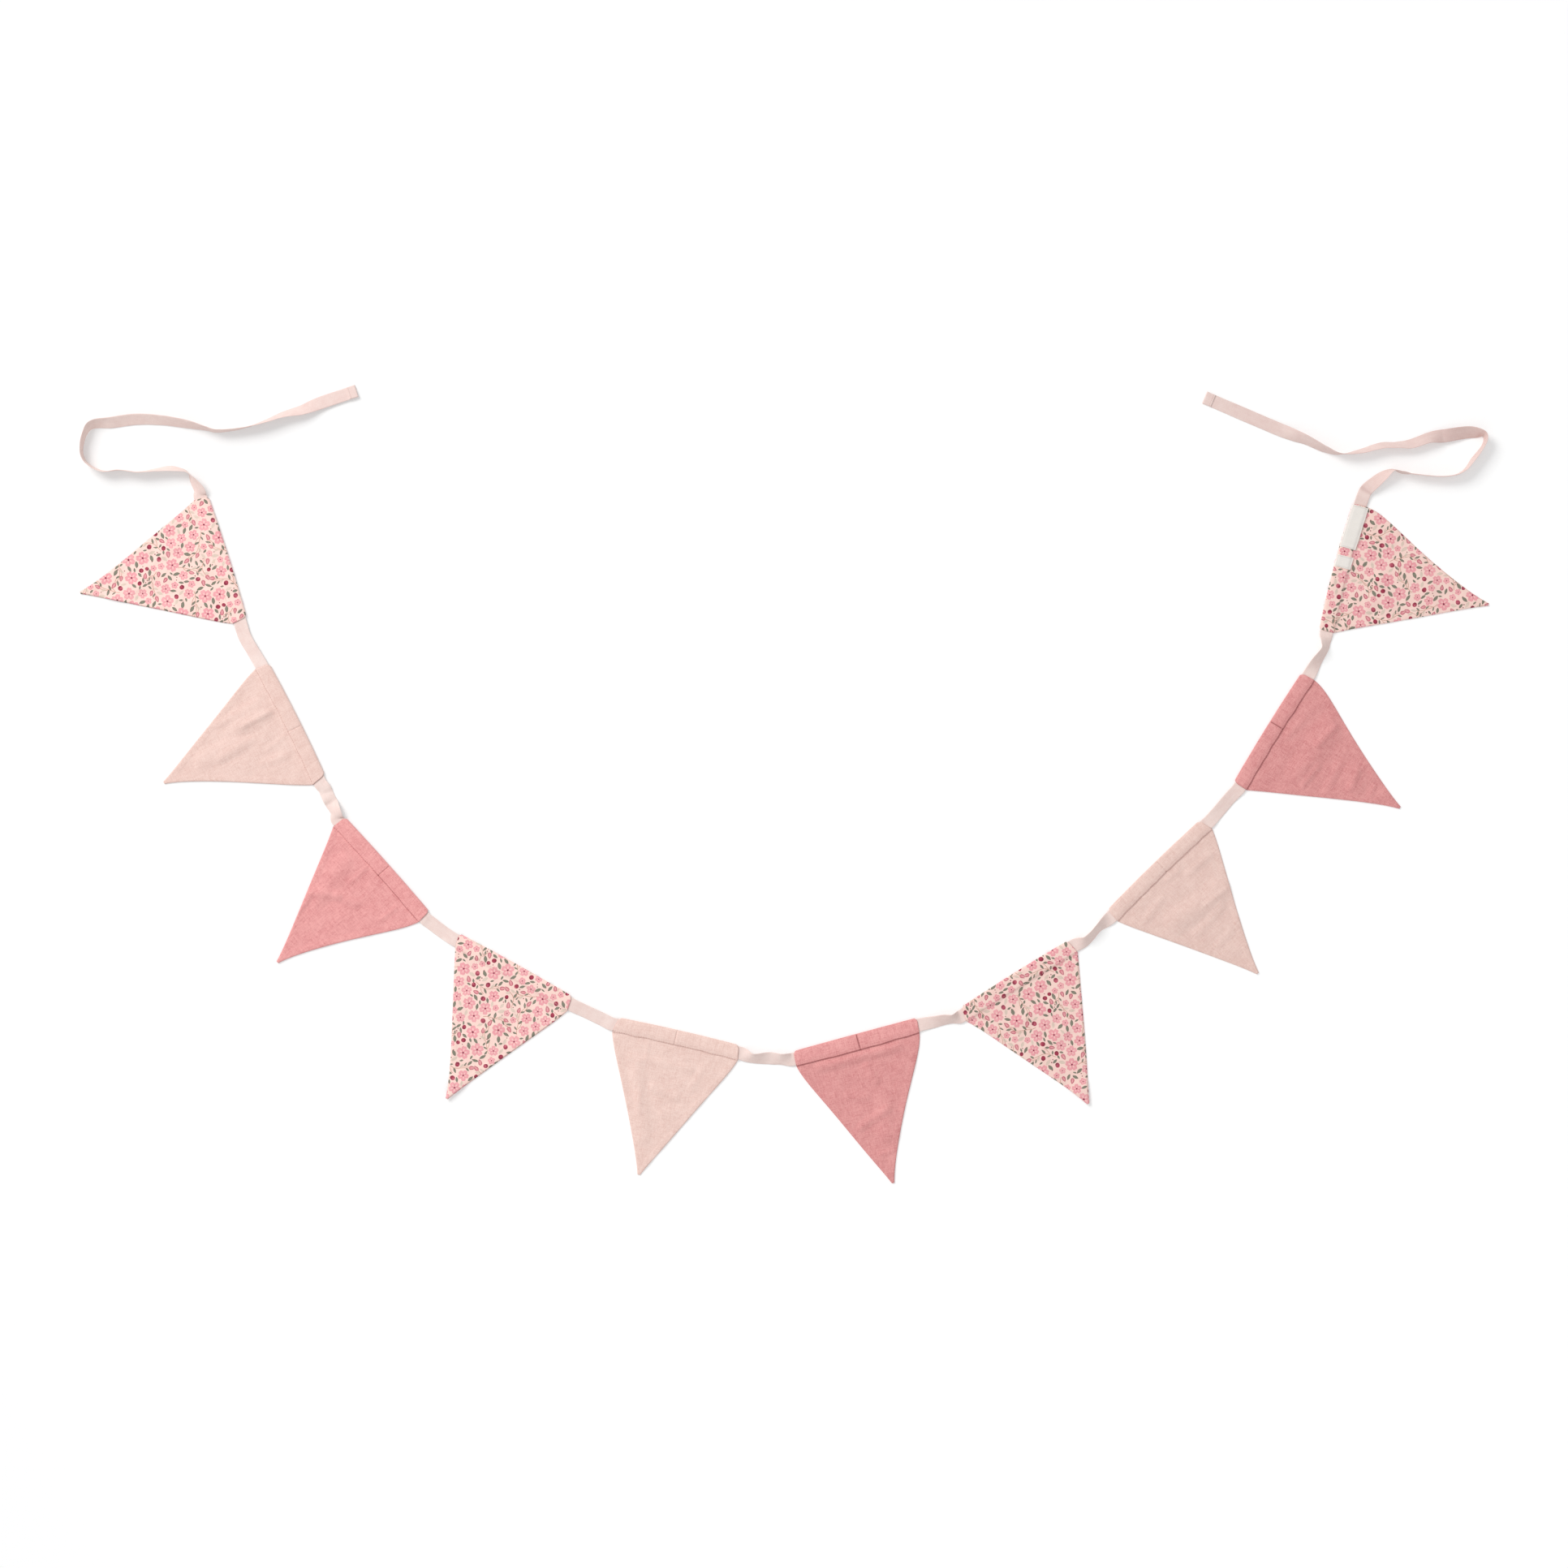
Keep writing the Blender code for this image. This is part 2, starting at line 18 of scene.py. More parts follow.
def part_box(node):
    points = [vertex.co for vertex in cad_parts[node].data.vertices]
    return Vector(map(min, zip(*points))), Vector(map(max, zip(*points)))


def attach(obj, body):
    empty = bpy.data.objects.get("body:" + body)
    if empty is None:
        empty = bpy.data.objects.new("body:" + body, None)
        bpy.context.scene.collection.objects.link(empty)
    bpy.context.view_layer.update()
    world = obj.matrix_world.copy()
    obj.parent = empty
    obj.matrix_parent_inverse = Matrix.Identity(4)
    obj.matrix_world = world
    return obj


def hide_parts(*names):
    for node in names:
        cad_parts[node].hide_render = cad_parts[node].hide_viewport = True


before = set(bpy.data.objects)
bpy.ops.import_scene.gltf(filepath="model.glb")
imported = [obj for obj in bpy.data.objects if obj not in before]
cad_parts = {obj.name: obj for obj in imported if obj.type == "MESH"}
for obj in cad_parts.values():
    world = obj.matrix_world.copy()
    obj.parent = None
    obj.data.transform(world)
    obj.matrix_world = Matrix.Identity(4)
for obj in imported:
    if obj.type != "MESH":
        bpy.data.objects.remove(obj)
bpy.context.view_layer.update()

Array = NDArray[np.float64]
Index = NDArray[np.int64]
Colour = tuple[float, float, float]
Link = "Wire | float | Colour | bpy.types.NodeSocket"

LOG = logging.getLogger("bunting")
MM = 0.001
BODY = "root"


def display(red: int, green: int, blue: int) -> Colour:
    """Returns the linear colour of a display colour given from 0 to 255.

    Args:
        red: Red as shown on a display.
        green: Green as shown on a display.
        blue: Blue as shown on a display.

    Returns:
        The three linear parts, each (c / 255) to the power 2.2.
    """
    return ((red / 255) ** 2.2, (green / 255) ** 2.2, (blue / 255) ** 2.2)


def added(name: str, data: bpy.types.ID) -> bpy.types.Object:
    """Returns a new object of some data, linked to the scene."""
    made = bpy.data.objects.new(name, data)
    bpy.context.scene.collection.objects.link(made)
    return made


class Cloth(Enum):
    """The cloths of the bunting; each value is the record's material slot."""

    FLORAL = "floral"
    LIGHT = "light"
    DARK = "dark"
    TAPE = "tape"
    LABEL = "label"


class Bloom(Enum):
    """Motifs of the print's upper layer, by the number that the mesh carries."""

    FLOWER = 1
    BERRY = 2
    BUD = 3
    DOT = 4


class Leaf(Enum):
    """Motifs of the print's leaf layer, by the number that the mesh carries."""

    DARK = 1
    PALE = 2


# Shader expressions


class Wire:
    """One value or colour in a material's node graph, with arithmetic on it."""

    def __init__(self, graph: "Graph", socket: bpy.types.NodeSocket) -> None:
        """Keeps the graph that the socket belongs to."""
        self.graph = graph
        self.socket = socket

    def math(self, operation: str, *others: Link, swap: bool = False) -> "Wire":
        """Adds a Math node on this value.

        Args:
            operation: The Math node's operation.
            others: Its further values or links.
            swap: Puts this value second, for the reflected operators.

        Returns:
            The node's result.
        """
        values = [self, *others]
        if swap:
            values.reverse()
        settings = {"operation": operation}
        return self.graph.node("ShaderNodeMath", settings, dict(enumerate(values)))

    def __add__(self, other: Link) -> "Wire":
        """Returns this plus other."""
        return self.math("ADD", other)

    __radd__ = __add__

    def __mul__(self, other: Link) -> "Wire":
        """Returns this times other."""
        return self.math("MULTIPLY", other)

    __rmul__ = __mul__

    def __sub__(self, other: Link) -> "Wire":
        """Returns this minus other."""
        return self.math("SUBTRACT", other)

    def __rsub__(self, other: Link) -> "Wire":
        """Returns other minus this."""
        return self.math("SUBTRACT", other, swap=True)

    def __pow__(self, other: Link) -> "Wire":
        """Returns this to the power of other."""
        return self.math("POWER", other)

    def __abs__(self) -> "Wire":
        """Returns the size of this value."""
        return self.math("ABSOLUTE")

    def clamp(self) -> "Wire":
        """Returns this value held between 0 and 1."""
        return self.graph.node("ShaderNodeClamp", {}, {"Value": self})

    def within(self, soft: float) -> "Wire":
        """Returns 1 where this margin is above 0, 0 below it, over a soft step between."""
        return (self * (1.0 / soft) + 0.5).clamp()

    def equals(self, number: float) -> "Wire":
        """Returns 1 where this value rounds to a whole number."""
        return self.math("COMPARE", number, 0.45)


class Graph:
    """The node graph of one material, from its coordinates to its shader."""

    def __init__(self, name: str) -> None:
        """Makes a material with a bare Principled shader."""
        self.material = bpy.data.materials.new(name)
        self.material.use_nodes = True
        self.tree = self.material.node_tree
        self.shader = self.tree.nodes["Principled BSDF"]

    def node(self, kind: str, settings: dict, inputs: dict, output: int | str = 0) -> Wire:
        """Adds any node.

        Args:
            kind: The node's type name.
            settings: Its properties, set before its sockets.
            inputs: Socket name or number against a value, a Wire or a socket.
            output: The name or number of the socket to return.

        Returns:
            The chosen output.
        """
        made = self.tree.nodes.new(kind)
        for key, value in settings.items():
            setattr(made, key, value)
        for key, value in inputs.items():
            self.feed(made.inputs[key], value)
        return Wire(self, made.outputs[output])

    def feed(self, socket: bpy.types.NodeSocket, value: Link) -> None:
        """Links a Wire to a socket, or sets the socket's own value."""
        if isinstance(value, Wire):
            self.tree.links.new(value.socket, socket)
        elif isinstance(value, tuple) and len(socket.default_value) == 4:
            socket.default_value = (*value, 1.0)
        else:
            socket.default_value = value

    def parts(self, vector: Wire) -> tuple[Wire, Wire, Wire]:
        """Returns the three parts of a vector."""
        made = self.tree.nodes.new("ShaderNodeSeparateXYZ")
        self.feed(made.inputs[0], vector)
        return tuple(Wire(self, socket) for socket in made.outputs)

    def join(self, x: Link, y: Link, z: Link) -> Wire:
        """Returns a vector of three values."""
        return self.node("ShaderNodeCombineXYZ", {}, {0: x, 1: y, 2: z})

    def mix(self, share: Link, low: Link, high: Link) -> Wire:
        """Returns the colour between low and high at a share."""
        settings = {"data_type": "RGBA", "blend_type": "MIX"}
        return self.node("ShaderNodeMix", settings, {0: share, 6: low, 7: high}, 2)

    def noise(self, at: Wire, scale: float, detail: float = 2.0) -> Wire:
        """Returns smooth noise from 0 to 1 at a place."""
        inputs = {"Vector": at, "Scale": scale, "Detail": detail, "Roughness": 0.55}
        return self.node("ShaderNodeTexNoise", {}, inputs)

    def finish(self, colour: Link, height: Wire, depth: float, roughness: Link) -> bpy.types.Material:
        """Feeds the shader.

        Args:
            colour: The base colour.
            height: The relief, from 0 to 1.
            depth: What a relief of 1 measures, in millimetres.
            roughness: The roughness.

        Returns:
            The finished material.
        """
        relief = {"Height": height, "Strength": 1.0, "Distance": depth * MM}
        bump = self.node("ShaderNodeBump", {}, relief)
        self.feed(self.shader.inputs["Base Color"], colour)
        self.feed(self.shader.inputs["Roughness"], roughness)
        self.feed(self.shader.inputs["Normal"], bump)
        return self.material


@dataclass(frozen=True)
class Cotton:
    """Plain-woven cotton: threads both ways, slubs, and a washed, uneven colour.

    Attributes:
        name: The material's name.
        base: The cloth's colour.
        deep: Its colour in hollows and thick threads.
        pitch: Width of one thread in millimetres.
        slub: How strongly thick and thin threads show in the colour.
        mottle: How strongly the washed-out clouds show.
        relief: Height of the weave in millimetres.
        sheen: Weight of the fibres' sheen.
        sheen_rough: The sheen's own roughness.
        gloss: Level of the plain reflection.
        rough: The least roughness.
        rough_range: How much the grain adds to it.
        lean: Share of the deeper shade where nothing else changes it.
        fine: Thick and thin threads a millimetre across their own run.
        drawn: The same along their run.
        cloud_scale: Clouds a metre.
        grain_scale: Grains a metre.
        shade_and_tone_tint: What the colour is multiplied by under full painted shade or the deepest tone.
        pale_tint: What the colour is multiplied by where the cloth is fully paler.
    """

    name: str
    base: Colour
    deep: Colour
    pitch: float = 0.42
    slub: float = 0.5
    mottle: float = 0.35
    relief: float = 0.05
    sheen: float = 0.12
    sheen_rough: float = 0.5
    gloss: float = 0.25
    rough: float = 0.82
    rough_range: float = 0.14
    lean: float = 0.35
    fine: float = 1.1
    drawn: float = 0.07
    cloud_scale: float = 38.0
    grain_scale: float = 700.0
    shade_and_tone_tint: Colour = (0.5, 0.36, 0.37)
    pale_tint: Colour = (1.14, 1.17, 1.17)

    def material(self) -> bpy.types.Material:
        """Returns the finished material."""
        graph = Graph(self.name)
        return self.dress(graph, self.base)

    def dress(self, graph: Graph, ground: Link) -> bpy.types.Material:
        """Weaves the ground colour into cloth.

        The weave's height is sin(pi x / p) sin(pi y / p), one bump where each thread passes
        over. Slubs are noise drawn out along each thread's own run, and clouds and specks are
        coarse and fine noise; their sum is the share of the deeper colour. The mesh's per-point
        value darkens the cloth above 0, with painted shade and shadow in seams, grooves, mouths
        and along edges and with a deeper tone, and pales it below 0.

        Args:
            graph: The material's graph.
            ground: The colour before weaving.

        Returns:
            The finished material.
        """
        cloth = graph.node("ShaderNodeUVMap", {"uv_map": "cloth"}, {})
        x, y, _ = graph.parts(cloth)
        x = x * (1.0 / MM)
        y = y * (1.0 / MM)
        weave = (x * (math.pi / self.pitch)).math("SINE") * (y * (math.pi / self.pitch)).math("SINE")
        warp = graph.noise(graph.join(x * self.fine, y * self.drawn, 0.0), 1.0, 3.0)
        weft = graph.noise(graph.join(x * self.drawn, y * self.fine, 4.0), 1.0, 3.0)
        place = graph.node("ShaderNodeTexCoord", {}, {}, "Object")
        cloud = graph.noise(place, self.cloud_scale, 4.0)
        grain = graph.noise(place, self.grain_scale, 3.0)
        blots = graph.noise(graph.join(x * 0.2, y * 0.13, 9.0), 1.0, 3.0)
        threads = ((warp + weft) * 0.5 - 0.5) * 3.4 * self.slub
        clouds = ((cloud - 0.5) * 2.4 + (blots - 0.5) * 2.2) * self.mottle
        specks = (grain - 0.5) * 2.0 * self.slub
        # Each point's value: above 0 painted shade and shadow plus a deeper tone, below 0 paler cloth.
        shade_and_tone = graph.node("ShaderNodeAttribute", {"attribute_name": "shade_and_tone"}, {}, "Fac")
        paling = (shade_and_tone * -1.0).clamp()
        share = (self.lean + threads + clouds + specks).clamp()
        washed = graph.mix(share, ground, self.tinted(graph, ground))
        # Paler cloth below 0: over a front flap's casing, and where the tone is paler.
        pale = graph.mix(paling, washed, self.multiplied(graph, washed, self.pale_tint))
        # Painted shade and a deeper tone multiply the colour by the shade tint.
        seam = graph.mix((shade_and_tone * 0.8).clamp(), pale, self.multiplied(graph, pale, self.shade_and_tone_tint))
        height = 0.5 + weave * 0.25 + (warp + weft - 1.0) * 0.9
        graph.shader.inputs["Sheen Weight"].default_value = self.sheen
        graph.shader.inputs["Sheen Roughness"].default_value = self.sheen_rough
        graph.shader.inputs["Specular IOR Level"].default_value = self.gloss
        return graph.finish(seam, height, self.relief, self.rough + grain * self.rough_range)

    def tinted(self, graph: Graph, ground: Link) -> Wire:
        """Returns the ground's deeper shade: the ground times deep over base."""
        ratio = tuple(d / b for d, b in zip(self.deep, self.base))
        return self.multiplied(graph, ground, ratio)

    @staticmethod
    def multiplied(graph: Graph, ground: Link, ratio: Colour) -> Wire:
        """Returns a colour times a ratio."""
        settings = {"data_type": "RGBA", "blend_type": "MULTIPLY"}
        return graph.node("ShaderNodeMix", settings, {0: 1.0, 6: ground, 7: ratio}, 2)


@dataclass(frozen=True)
class PrintedCotton(Cotton):
    """Cotton printed with flowers, buds, berries and leafy sprigs in a generic layout.

    Each face of the mesh carries the nearest motif's own coordinates, with the motif's
    radius as the unit, so that the shader draws each outline as a formula.

    The colours are named for what they paint: wash is the ground where the dye has pooled,
    heart also paints the berries' caps and the dots, and berry the buds' rims.

    Attributes:
        brush_scale: Brush marks a metre.
        pool_scale: Pools of dye a metre.
        stem_half: Half of a stem's width in millimetres.
        leaf_half: Half of the narrowest leaf's width over its length.
        leaf_range: How much the broadest leaf adds to it.
    """

    wash: Colour = display(250, 208, 199)
    petal: Colour = display(240, 161, 170)
    petal_deep: Colour = display(226, 134, 148)
    petal_light: Colour = display(249, 192, 193)
    heart: Colour = display(112, 34, 56)
    berry: Colour = display(164, 64, 84)
    rose: Colour = display(206, 112, 128)
    bud: Colour = display(224, 138, 150)
    leaf: Colour = display(150, 152, 134)
    leaf_rim: Colour = display(84, 88, 74)
    leaf_pale: Colour = display(208, 198, 180)
    stem: Colour = display(196, 148, 124)
    brush_scale: float = 420.0
    pool_scale: float = 70.0
    stem_half: float = 0.36
    leaf_half: float = 0.36
    leaf_range: float = 0.14

    def material(self) -> bpy.types.Material:
        """Returns the finished material."""
        graph = Graph(self.name)
        place = graph.node("ShaderNodeTexCoord", {}, {}, "Object")
        paint = graph.noise(place, self.brush_scale, 3.0)
        pool = graph.noise(place, self.pool_scale, 2.0)
        ground = graph.mix(((pool - 0.42) * 2.2).clamp() * 0.5, self.base, self.wash)
        colour = self.leaves(graph, self.stems(graph, ground, paint), paint)
        colour = self.blooms(graph, colour, paint)
        return self.dress(graph, colour)

    @staticmethod
    def read(graph: Graph, layer: str, paint: Wire, shake: float) -> tuple[Wire, Wire, Wire, Wire]:
        """Reads one layer's coordinates and shakes them a little, as by a brush.

        Args:
            graph: The material's graph.
            layer: The attribute's name.
            paint: The brush's noise.
            shake: How far the coordinates move, in the motif's units.

        Returns:
            x, y, the motif's kind and its tone from 0 to 1.
        """
        at = graph.node("ShaderNodeAttribute", {"attribute_name": layer}, {}, "Vector")
        x, y, code = graph.parts(at)
        move = (paint - 0.5) * shake
        return x + move, y - move, code.math("FLOOR"), code.math("FRACT")

    def stems(self, graph: Graph, colour: Wire, paint: Wire) -> Wire:
        """Draws thin stems: ink where the distance to the stem's line is under its half-width."""
        along, away, kind, _ = self.read(graph, "stem", paint, 0.25)
        ink = (self.stem_half - abs(away)).within(0.22) * (1.3 - abs(along)).within(0.3) * kind
        return graph.mix(ink * (0.55 + paint * 0.5), colour, self.stem)

    def leaves(self, graph: Graph, colour: Wire, paint: Wire) -> Wire:
        """Draws leaves with a darker rim and midrib: a half-width of (h + k tone)(1 - x^2)."""
        x, y, kind, tone = self.read(graph, "leaf", paint, 0.22)
        margin = (1.0 - x * x) * (self.leaf_half + tone * self.leaf_range) - abs(y)
        dark = kind.equals(Leaf.DARK.value)
        pale = kind.equals(Leaf.PALE.value)
        colour = graph.mix(margin.within(0.14) * pale * (0.35 + paint * 0.6), colour, self.leaf_pale)
        colour = graph.mix(margin.within(0.07) * dark * 0.92, colour, self.leaf_rim)
        blade = (margin - 0.1).within(0.1) * (abs(y + x * 0.04) - 0.04).within(0.08)
        return graph.mix(blade * dark * (0.25 + paint * 0.9), colour, self.leaf)

    def blooms(self, graph: Graph, colour: Wire, paint: Wire) -> Wire:
        """Draws flowers, buds, berries and dots.

        A bud's half-width is 0.6 (1 - 0.35 x) sqrt(1 - x^2), with a rim and a slit down its
        middle; a berry is a slightly flattened round with a darker cap; a dot is a round.

        Args:
            graph: The material's graph.
            colour: What lies below.
            paint: The brush's noise.

        Returns:
            The colour with the upper layer on it.
        """
        x, y, kind, tone = self.read(graph, "bloom", paint, 0.2)
        colour = self.flowers(graph, colour, (x, y, kind, tone), paint)
        radius = (x * x + y * y).math("SQRT")
        bud = kind.equals(Bloom.BUD.value)
        width = (1.0 - x * x).math("MAXIMUM", 0.0).math("SQRT") * (1.0 - x * 0.35) * 0.6
        margin = width - abs(y)
        colour = graph.mix(margin.within(0.1) * bud * (0.7 + tone * 0.3), colour, self.berry)
        colour = graph.mix((margin - 0.17).within(0.14) * bud * 0.9, colour, self.bud)
        slit = (0.1 - abs(y)).within(0.12) * (0.5 - abs(x)).within(0.2)
        colour = graph.mix(slit * bud * 0.6, colour, self.base)
        berry = kind.equals(Bloom.BERRY.value)
        round_ = (0.92 - (x * x + y * y * 1.25).math("SQRT")).within(0.12) * berry
        skin = graph.mix(((tone - 0.3) * 1.2 + (paint - 0.5) * 5.0).clamp(), self.berry, self.rose)
        colour = graph.mix(round_, colour, skin)
        cap = (x + y * y * 0.5 - 0.3 + (paint - 0.5) * 1.6).within(0.3) * round_
        colour = graph.mix(cap * 0.55, colour, self.heart)
        dot = kind.equals(Bloom.DOT.value)
        return graph.mix((0.9 - radius).within(0.3) * dot * 0.8, colour, self.heart)

    def flowers(self, graph: Graph, colour: Wire, at: tuple[Wire, ...], paint: Wire) -> Wire:
        """Draws five-petalled flowers.

        With c = |cos(2.5 a)| the edge is r = 0.46 + 0.54 c^0.5, less a notch where c nears 1.
        Petals deepen towards their rims and the gaps between them, and lighten at the heart.

        Args:
            graph: The material's graph.
            colour: What lies below.
            at: x, y, kind and tone of the nearest motif.
            paint: The brush's noise.

        Returns:
            The colour with the flowers on it.
        """
        x, y, kind, tone = at
        flower = kind.equals(Bloom.FLOWER.value)
        radius = (x * x + y * y).math("SQRT")
        lobe = abs((y.math("ARCTAN2", x) * 2.5).math("COSINE"))
        notch = ((lobe - 0.93) * 14.0).clamp() * 0.1
        margin = (lobe ** 0.5) * 0.54 + 0.46 - notch - radius
        petals = margin.within(0.09) * flower
        deep = (0.13 - margin).within(0.16) * 0.3 + (0.34 - lobe).within(0.5) * 0.75
        petal = graph.mix((tone * 0.5 + (paint - 0.4) * 0.9).clamp(), self.petal, self.petal_light)
        petal = graph.mix((deep * (0.5 + paint * 0.6)).clamp(), petal, self.petal_deep)
        colour = graph.mix(petals * (0.8 + paint * 0.3), colour, petal)
        streak = (0.52 - radius).within(0.2) * (radius - 0.17).within(0.06) * (lobe - 0.86).within(0.2)
        colour = graph.mix(streak * flower * 0.75, colour, self.base)
        halo = (0.2 - radius).within(0.12) * flower
        colour = graph.mix(halo * 0.6, colour, self.petal_deep)
        return graph.mix((0.12 - radius).within(0.07) * flower, colour, self.heart)


FINISHES: dict[Cloth, Cotton] = {
    Cloth.FLORAL: PrintedCotton(
        "printed_cotton", display(254, 223, 212), display(244, 205, 195), slub=0.25, mottle=0.28
    ),
    Cloth.LIGHT: Cotton(
        "blush_cotton", display(240, 210, 200), display(221, 184, 174), slub=0.8, mottle=0.3
    ),
    Cloth.DARK: Cotton(
        "rose_cotton", display(233, 165, 162), display(204, 128, 129), slub=0.85, mottle=0.34
    ),
    Cloth.TAPE: Cotton(
        "tape_cotton", display(242, 222, 215), display(228, 197, 190), 0.5, slub=0.25, mottle=0.35
    ),
    Cloth.LABEL: Cotton(
        "label_weave", display(240, 234, 228), display(227, 221, 214), 0.3, slub=0.2, mottle=0.2
    ),
}
THREADS: dict[Cloth, Cotton] = {
    Cloth.FLORAL: Cotton("thread_floral", display(236, 206, 196), display(220, 182, 174), 0.2),
    Cloth.LIGHT: Cotton("thread_light", display(206, 168, 158), display(184, 144, 135), 0.2),
    Cloth.DARK: Cotton("thread_dark", display(178, 102, 106), display(152, 80, 86), 0.2),
    Cloth.TAPE: Cotton("thread_tape", display(216, 180, 173), display(192, 152, 148), 0.2),
    Cloth.LABEL: Cotton("thread_label", display(222, 218, 210), display(198, 194, 186), 0.2),
}


# Meshes from grids


class Shell:
    """A closed mesh gathered from grids of points and the faces between them."""

    def __init__(self) -> None:
        """Starts with no points and no faces."""
        self.points: list[Array] = []
        self.faces: list[Index] = []
        self.cloth: list[Array] = []
        self.shade_and_tone: list[Array] = []
        self.total = 0

    def lay(self, points: Array, shade_and_tone: Array | float = 0.0) -> Index:
        """Adds a grid of points.

        Args:
            points: Rows by columns by 3, in metres.
            shade_and_tone: How much painted shade darkens each point, with its deeper tone, or below 0 how
                much paler it is.

        Returns:
            The points' numbers in the mesh, rows by columns.
        """
        rows, columns = points.shape[:2]
        index = self.total + np.arange(rows * columns).reshape(rows, columns)
        self.points.append(points.reshape(-1, 3))
        self.shade_and_tone.append(np.broadcast_to(shade_and_tone, (rows, columns)).ravel())
        self.total += rows * columns
        return index

    def skin(self, index: Index, cloth: Array, flip: bool = False) -> None:
        """Fills a grid of point numbers with four-sided faces.

        Args:
            index: The points' numbers, rows by columns.
            cloth: Each point's place on the flat cloth, rows by columns by 2, in metres.
            flip: Turns the faces over.
        """
        quads = corners_of(index)
        places = corners_of(cloth)
        if flip:
            quads = quads[:, ::-1]
            places = places[:, ::-1]
        self.faces.append(quads)
        self.cloth.append(places)

    def rim(self, upper: Index, lower: Index, cloth: Array, flip: bool = False) -> None:
        """Closes the gap between two lines of points that share their places on the cloth."""
        self.skin(np.stack([upper, lower]), np.stack([cloth, cloth]), flip)

    def band(self, top: Index, under: Index, cloth: Array, other: Array) -> None:
        """Skins both faces of a band and closes its four edges.

        Args:
            top: Numbers of the upper points, rows by columns.
            under: Numbers of the lower points.
            cloth: The upper points' places on the cloth, rows by columns by 2.
            other: The lower points' places.
        """
        self.skin(top, cloth)
        self.skin(under, other, flip=True)
        for column, flip in ((0, False), (-1, True)):
            self.rim(top[:, column], under[:, column], cloth[:, column], flip)
        for row, flip in ((0, True), (-1, False)):
            self.rim(top[row], under[row], cloth[row], flip)

    def build(self, name: str) -> tuple[bpy.types.Object, Array]:
        """Makes the object.

        Args:
            name: The piece's name.

        Returns:
            The object, and each face's four places on the cloth.
        """
        faces = np.concatenate(self.faces)
        cloth = np.concatenate(self.cloth)
        mesh = bpy.data.meshes.new(name)
        mesh.from_pydata(np.concatenate(self.points), [], faces)
        layer = mesh.uv_layers.new(name="cloth")
        layer.data.foreach_set("uv", cloth.astype(np.float32).ravel())
        # Each point's painted shade and tone, which the shader reads.
        depth = mesh.attributes.new("shade_and_tone", "FLOAT", "POINT")
        depth.data.foreach_set("value", np.concatenate(self.shade_and_tone).astype(np.float32))
        mesh.shade_smooth()
        return added(name, mesh), cloth


def corners_of(grid: NDArray) -> NDArray:
    """Returns the four corners of every cell of a grid, in the order that faces its front."""
    quads = np.stack([grid[:-1, :-1], grid[1:, :-1], grid[1:, 1:], grid[:-1, 1:]], axis=2)
    return quads.reshape(-1, 4, *grid.shape[2:])


def waves(x: Array, y: Array, size: float, seed: int, count: int = 14) -> Array:
    """Returns a smooth random field between about -1 and 1.

    It is the mean of plane sine waves with wavelengths round a size and random headings.

    Args:
        x: Places across, in millimetres.
        y: Places along, in millimetres.
        size: The typical wavelength in millimetres.
        seed: The number that fixes the field.
        count: How many waves are added.

    Returns:
        The field at each place.
    """
    rng = np.random.default_rng(seed)
    total = np.zeros(np.broadcast(x, y).shape)
    for turn, phase, stretch in rng.random((count, 3)):
        pull = 2 * np.pi / (size * (0.7 + 0.9 * stretch))
        lean = 2 * np.pi * turn
        total += np.sin(pull * (x * np.cos(lean) + y * np.sin(lean)) + 2 * np.pi * phase)
    return total / math.sqrt(count)


def smooth_step(low: float, high: float, value: Array) -> Array:
    """Returns 0 below low, 1 above high and 3t^2 - 2t^3 between them."""
    share = np.clip((value - low) / (high - low), 0.0, 1.0)
    return share * share * (3.0 - 2.0 * share)


def rounded(distance: Array, radius: float) -> Array:
    """Returns a quarter circle's height: 0 at distance 0 and 1 from the radius on."""
    share = np.clip(distance / radius, 0.0, 1.0)
    return np.sqrt(1.0 - (1.0 - share) ** 2)


def bell(distance: Array, width: float) -> Array:
    """Returns exp(-(d / w)^2), which is 1 at distance 0 and fades over the width."""
    return np.exp(-(distance / width) ** 2)


@dataclass(frozen=True)
class Waviness:
    """A random unevenness: its height and wavelength in millimetres, its number and waves."""

    height: float
    size: float
    number: int = 0
    count: int = 14

    def lift(self, x: Array, y: Array, seed: int = 0) -> Array:
        """Returns the height times the smooth field of this size and number at each place."""
        return self.height * waves(x, y, self.size, seed + self.number, self.count)


# The print


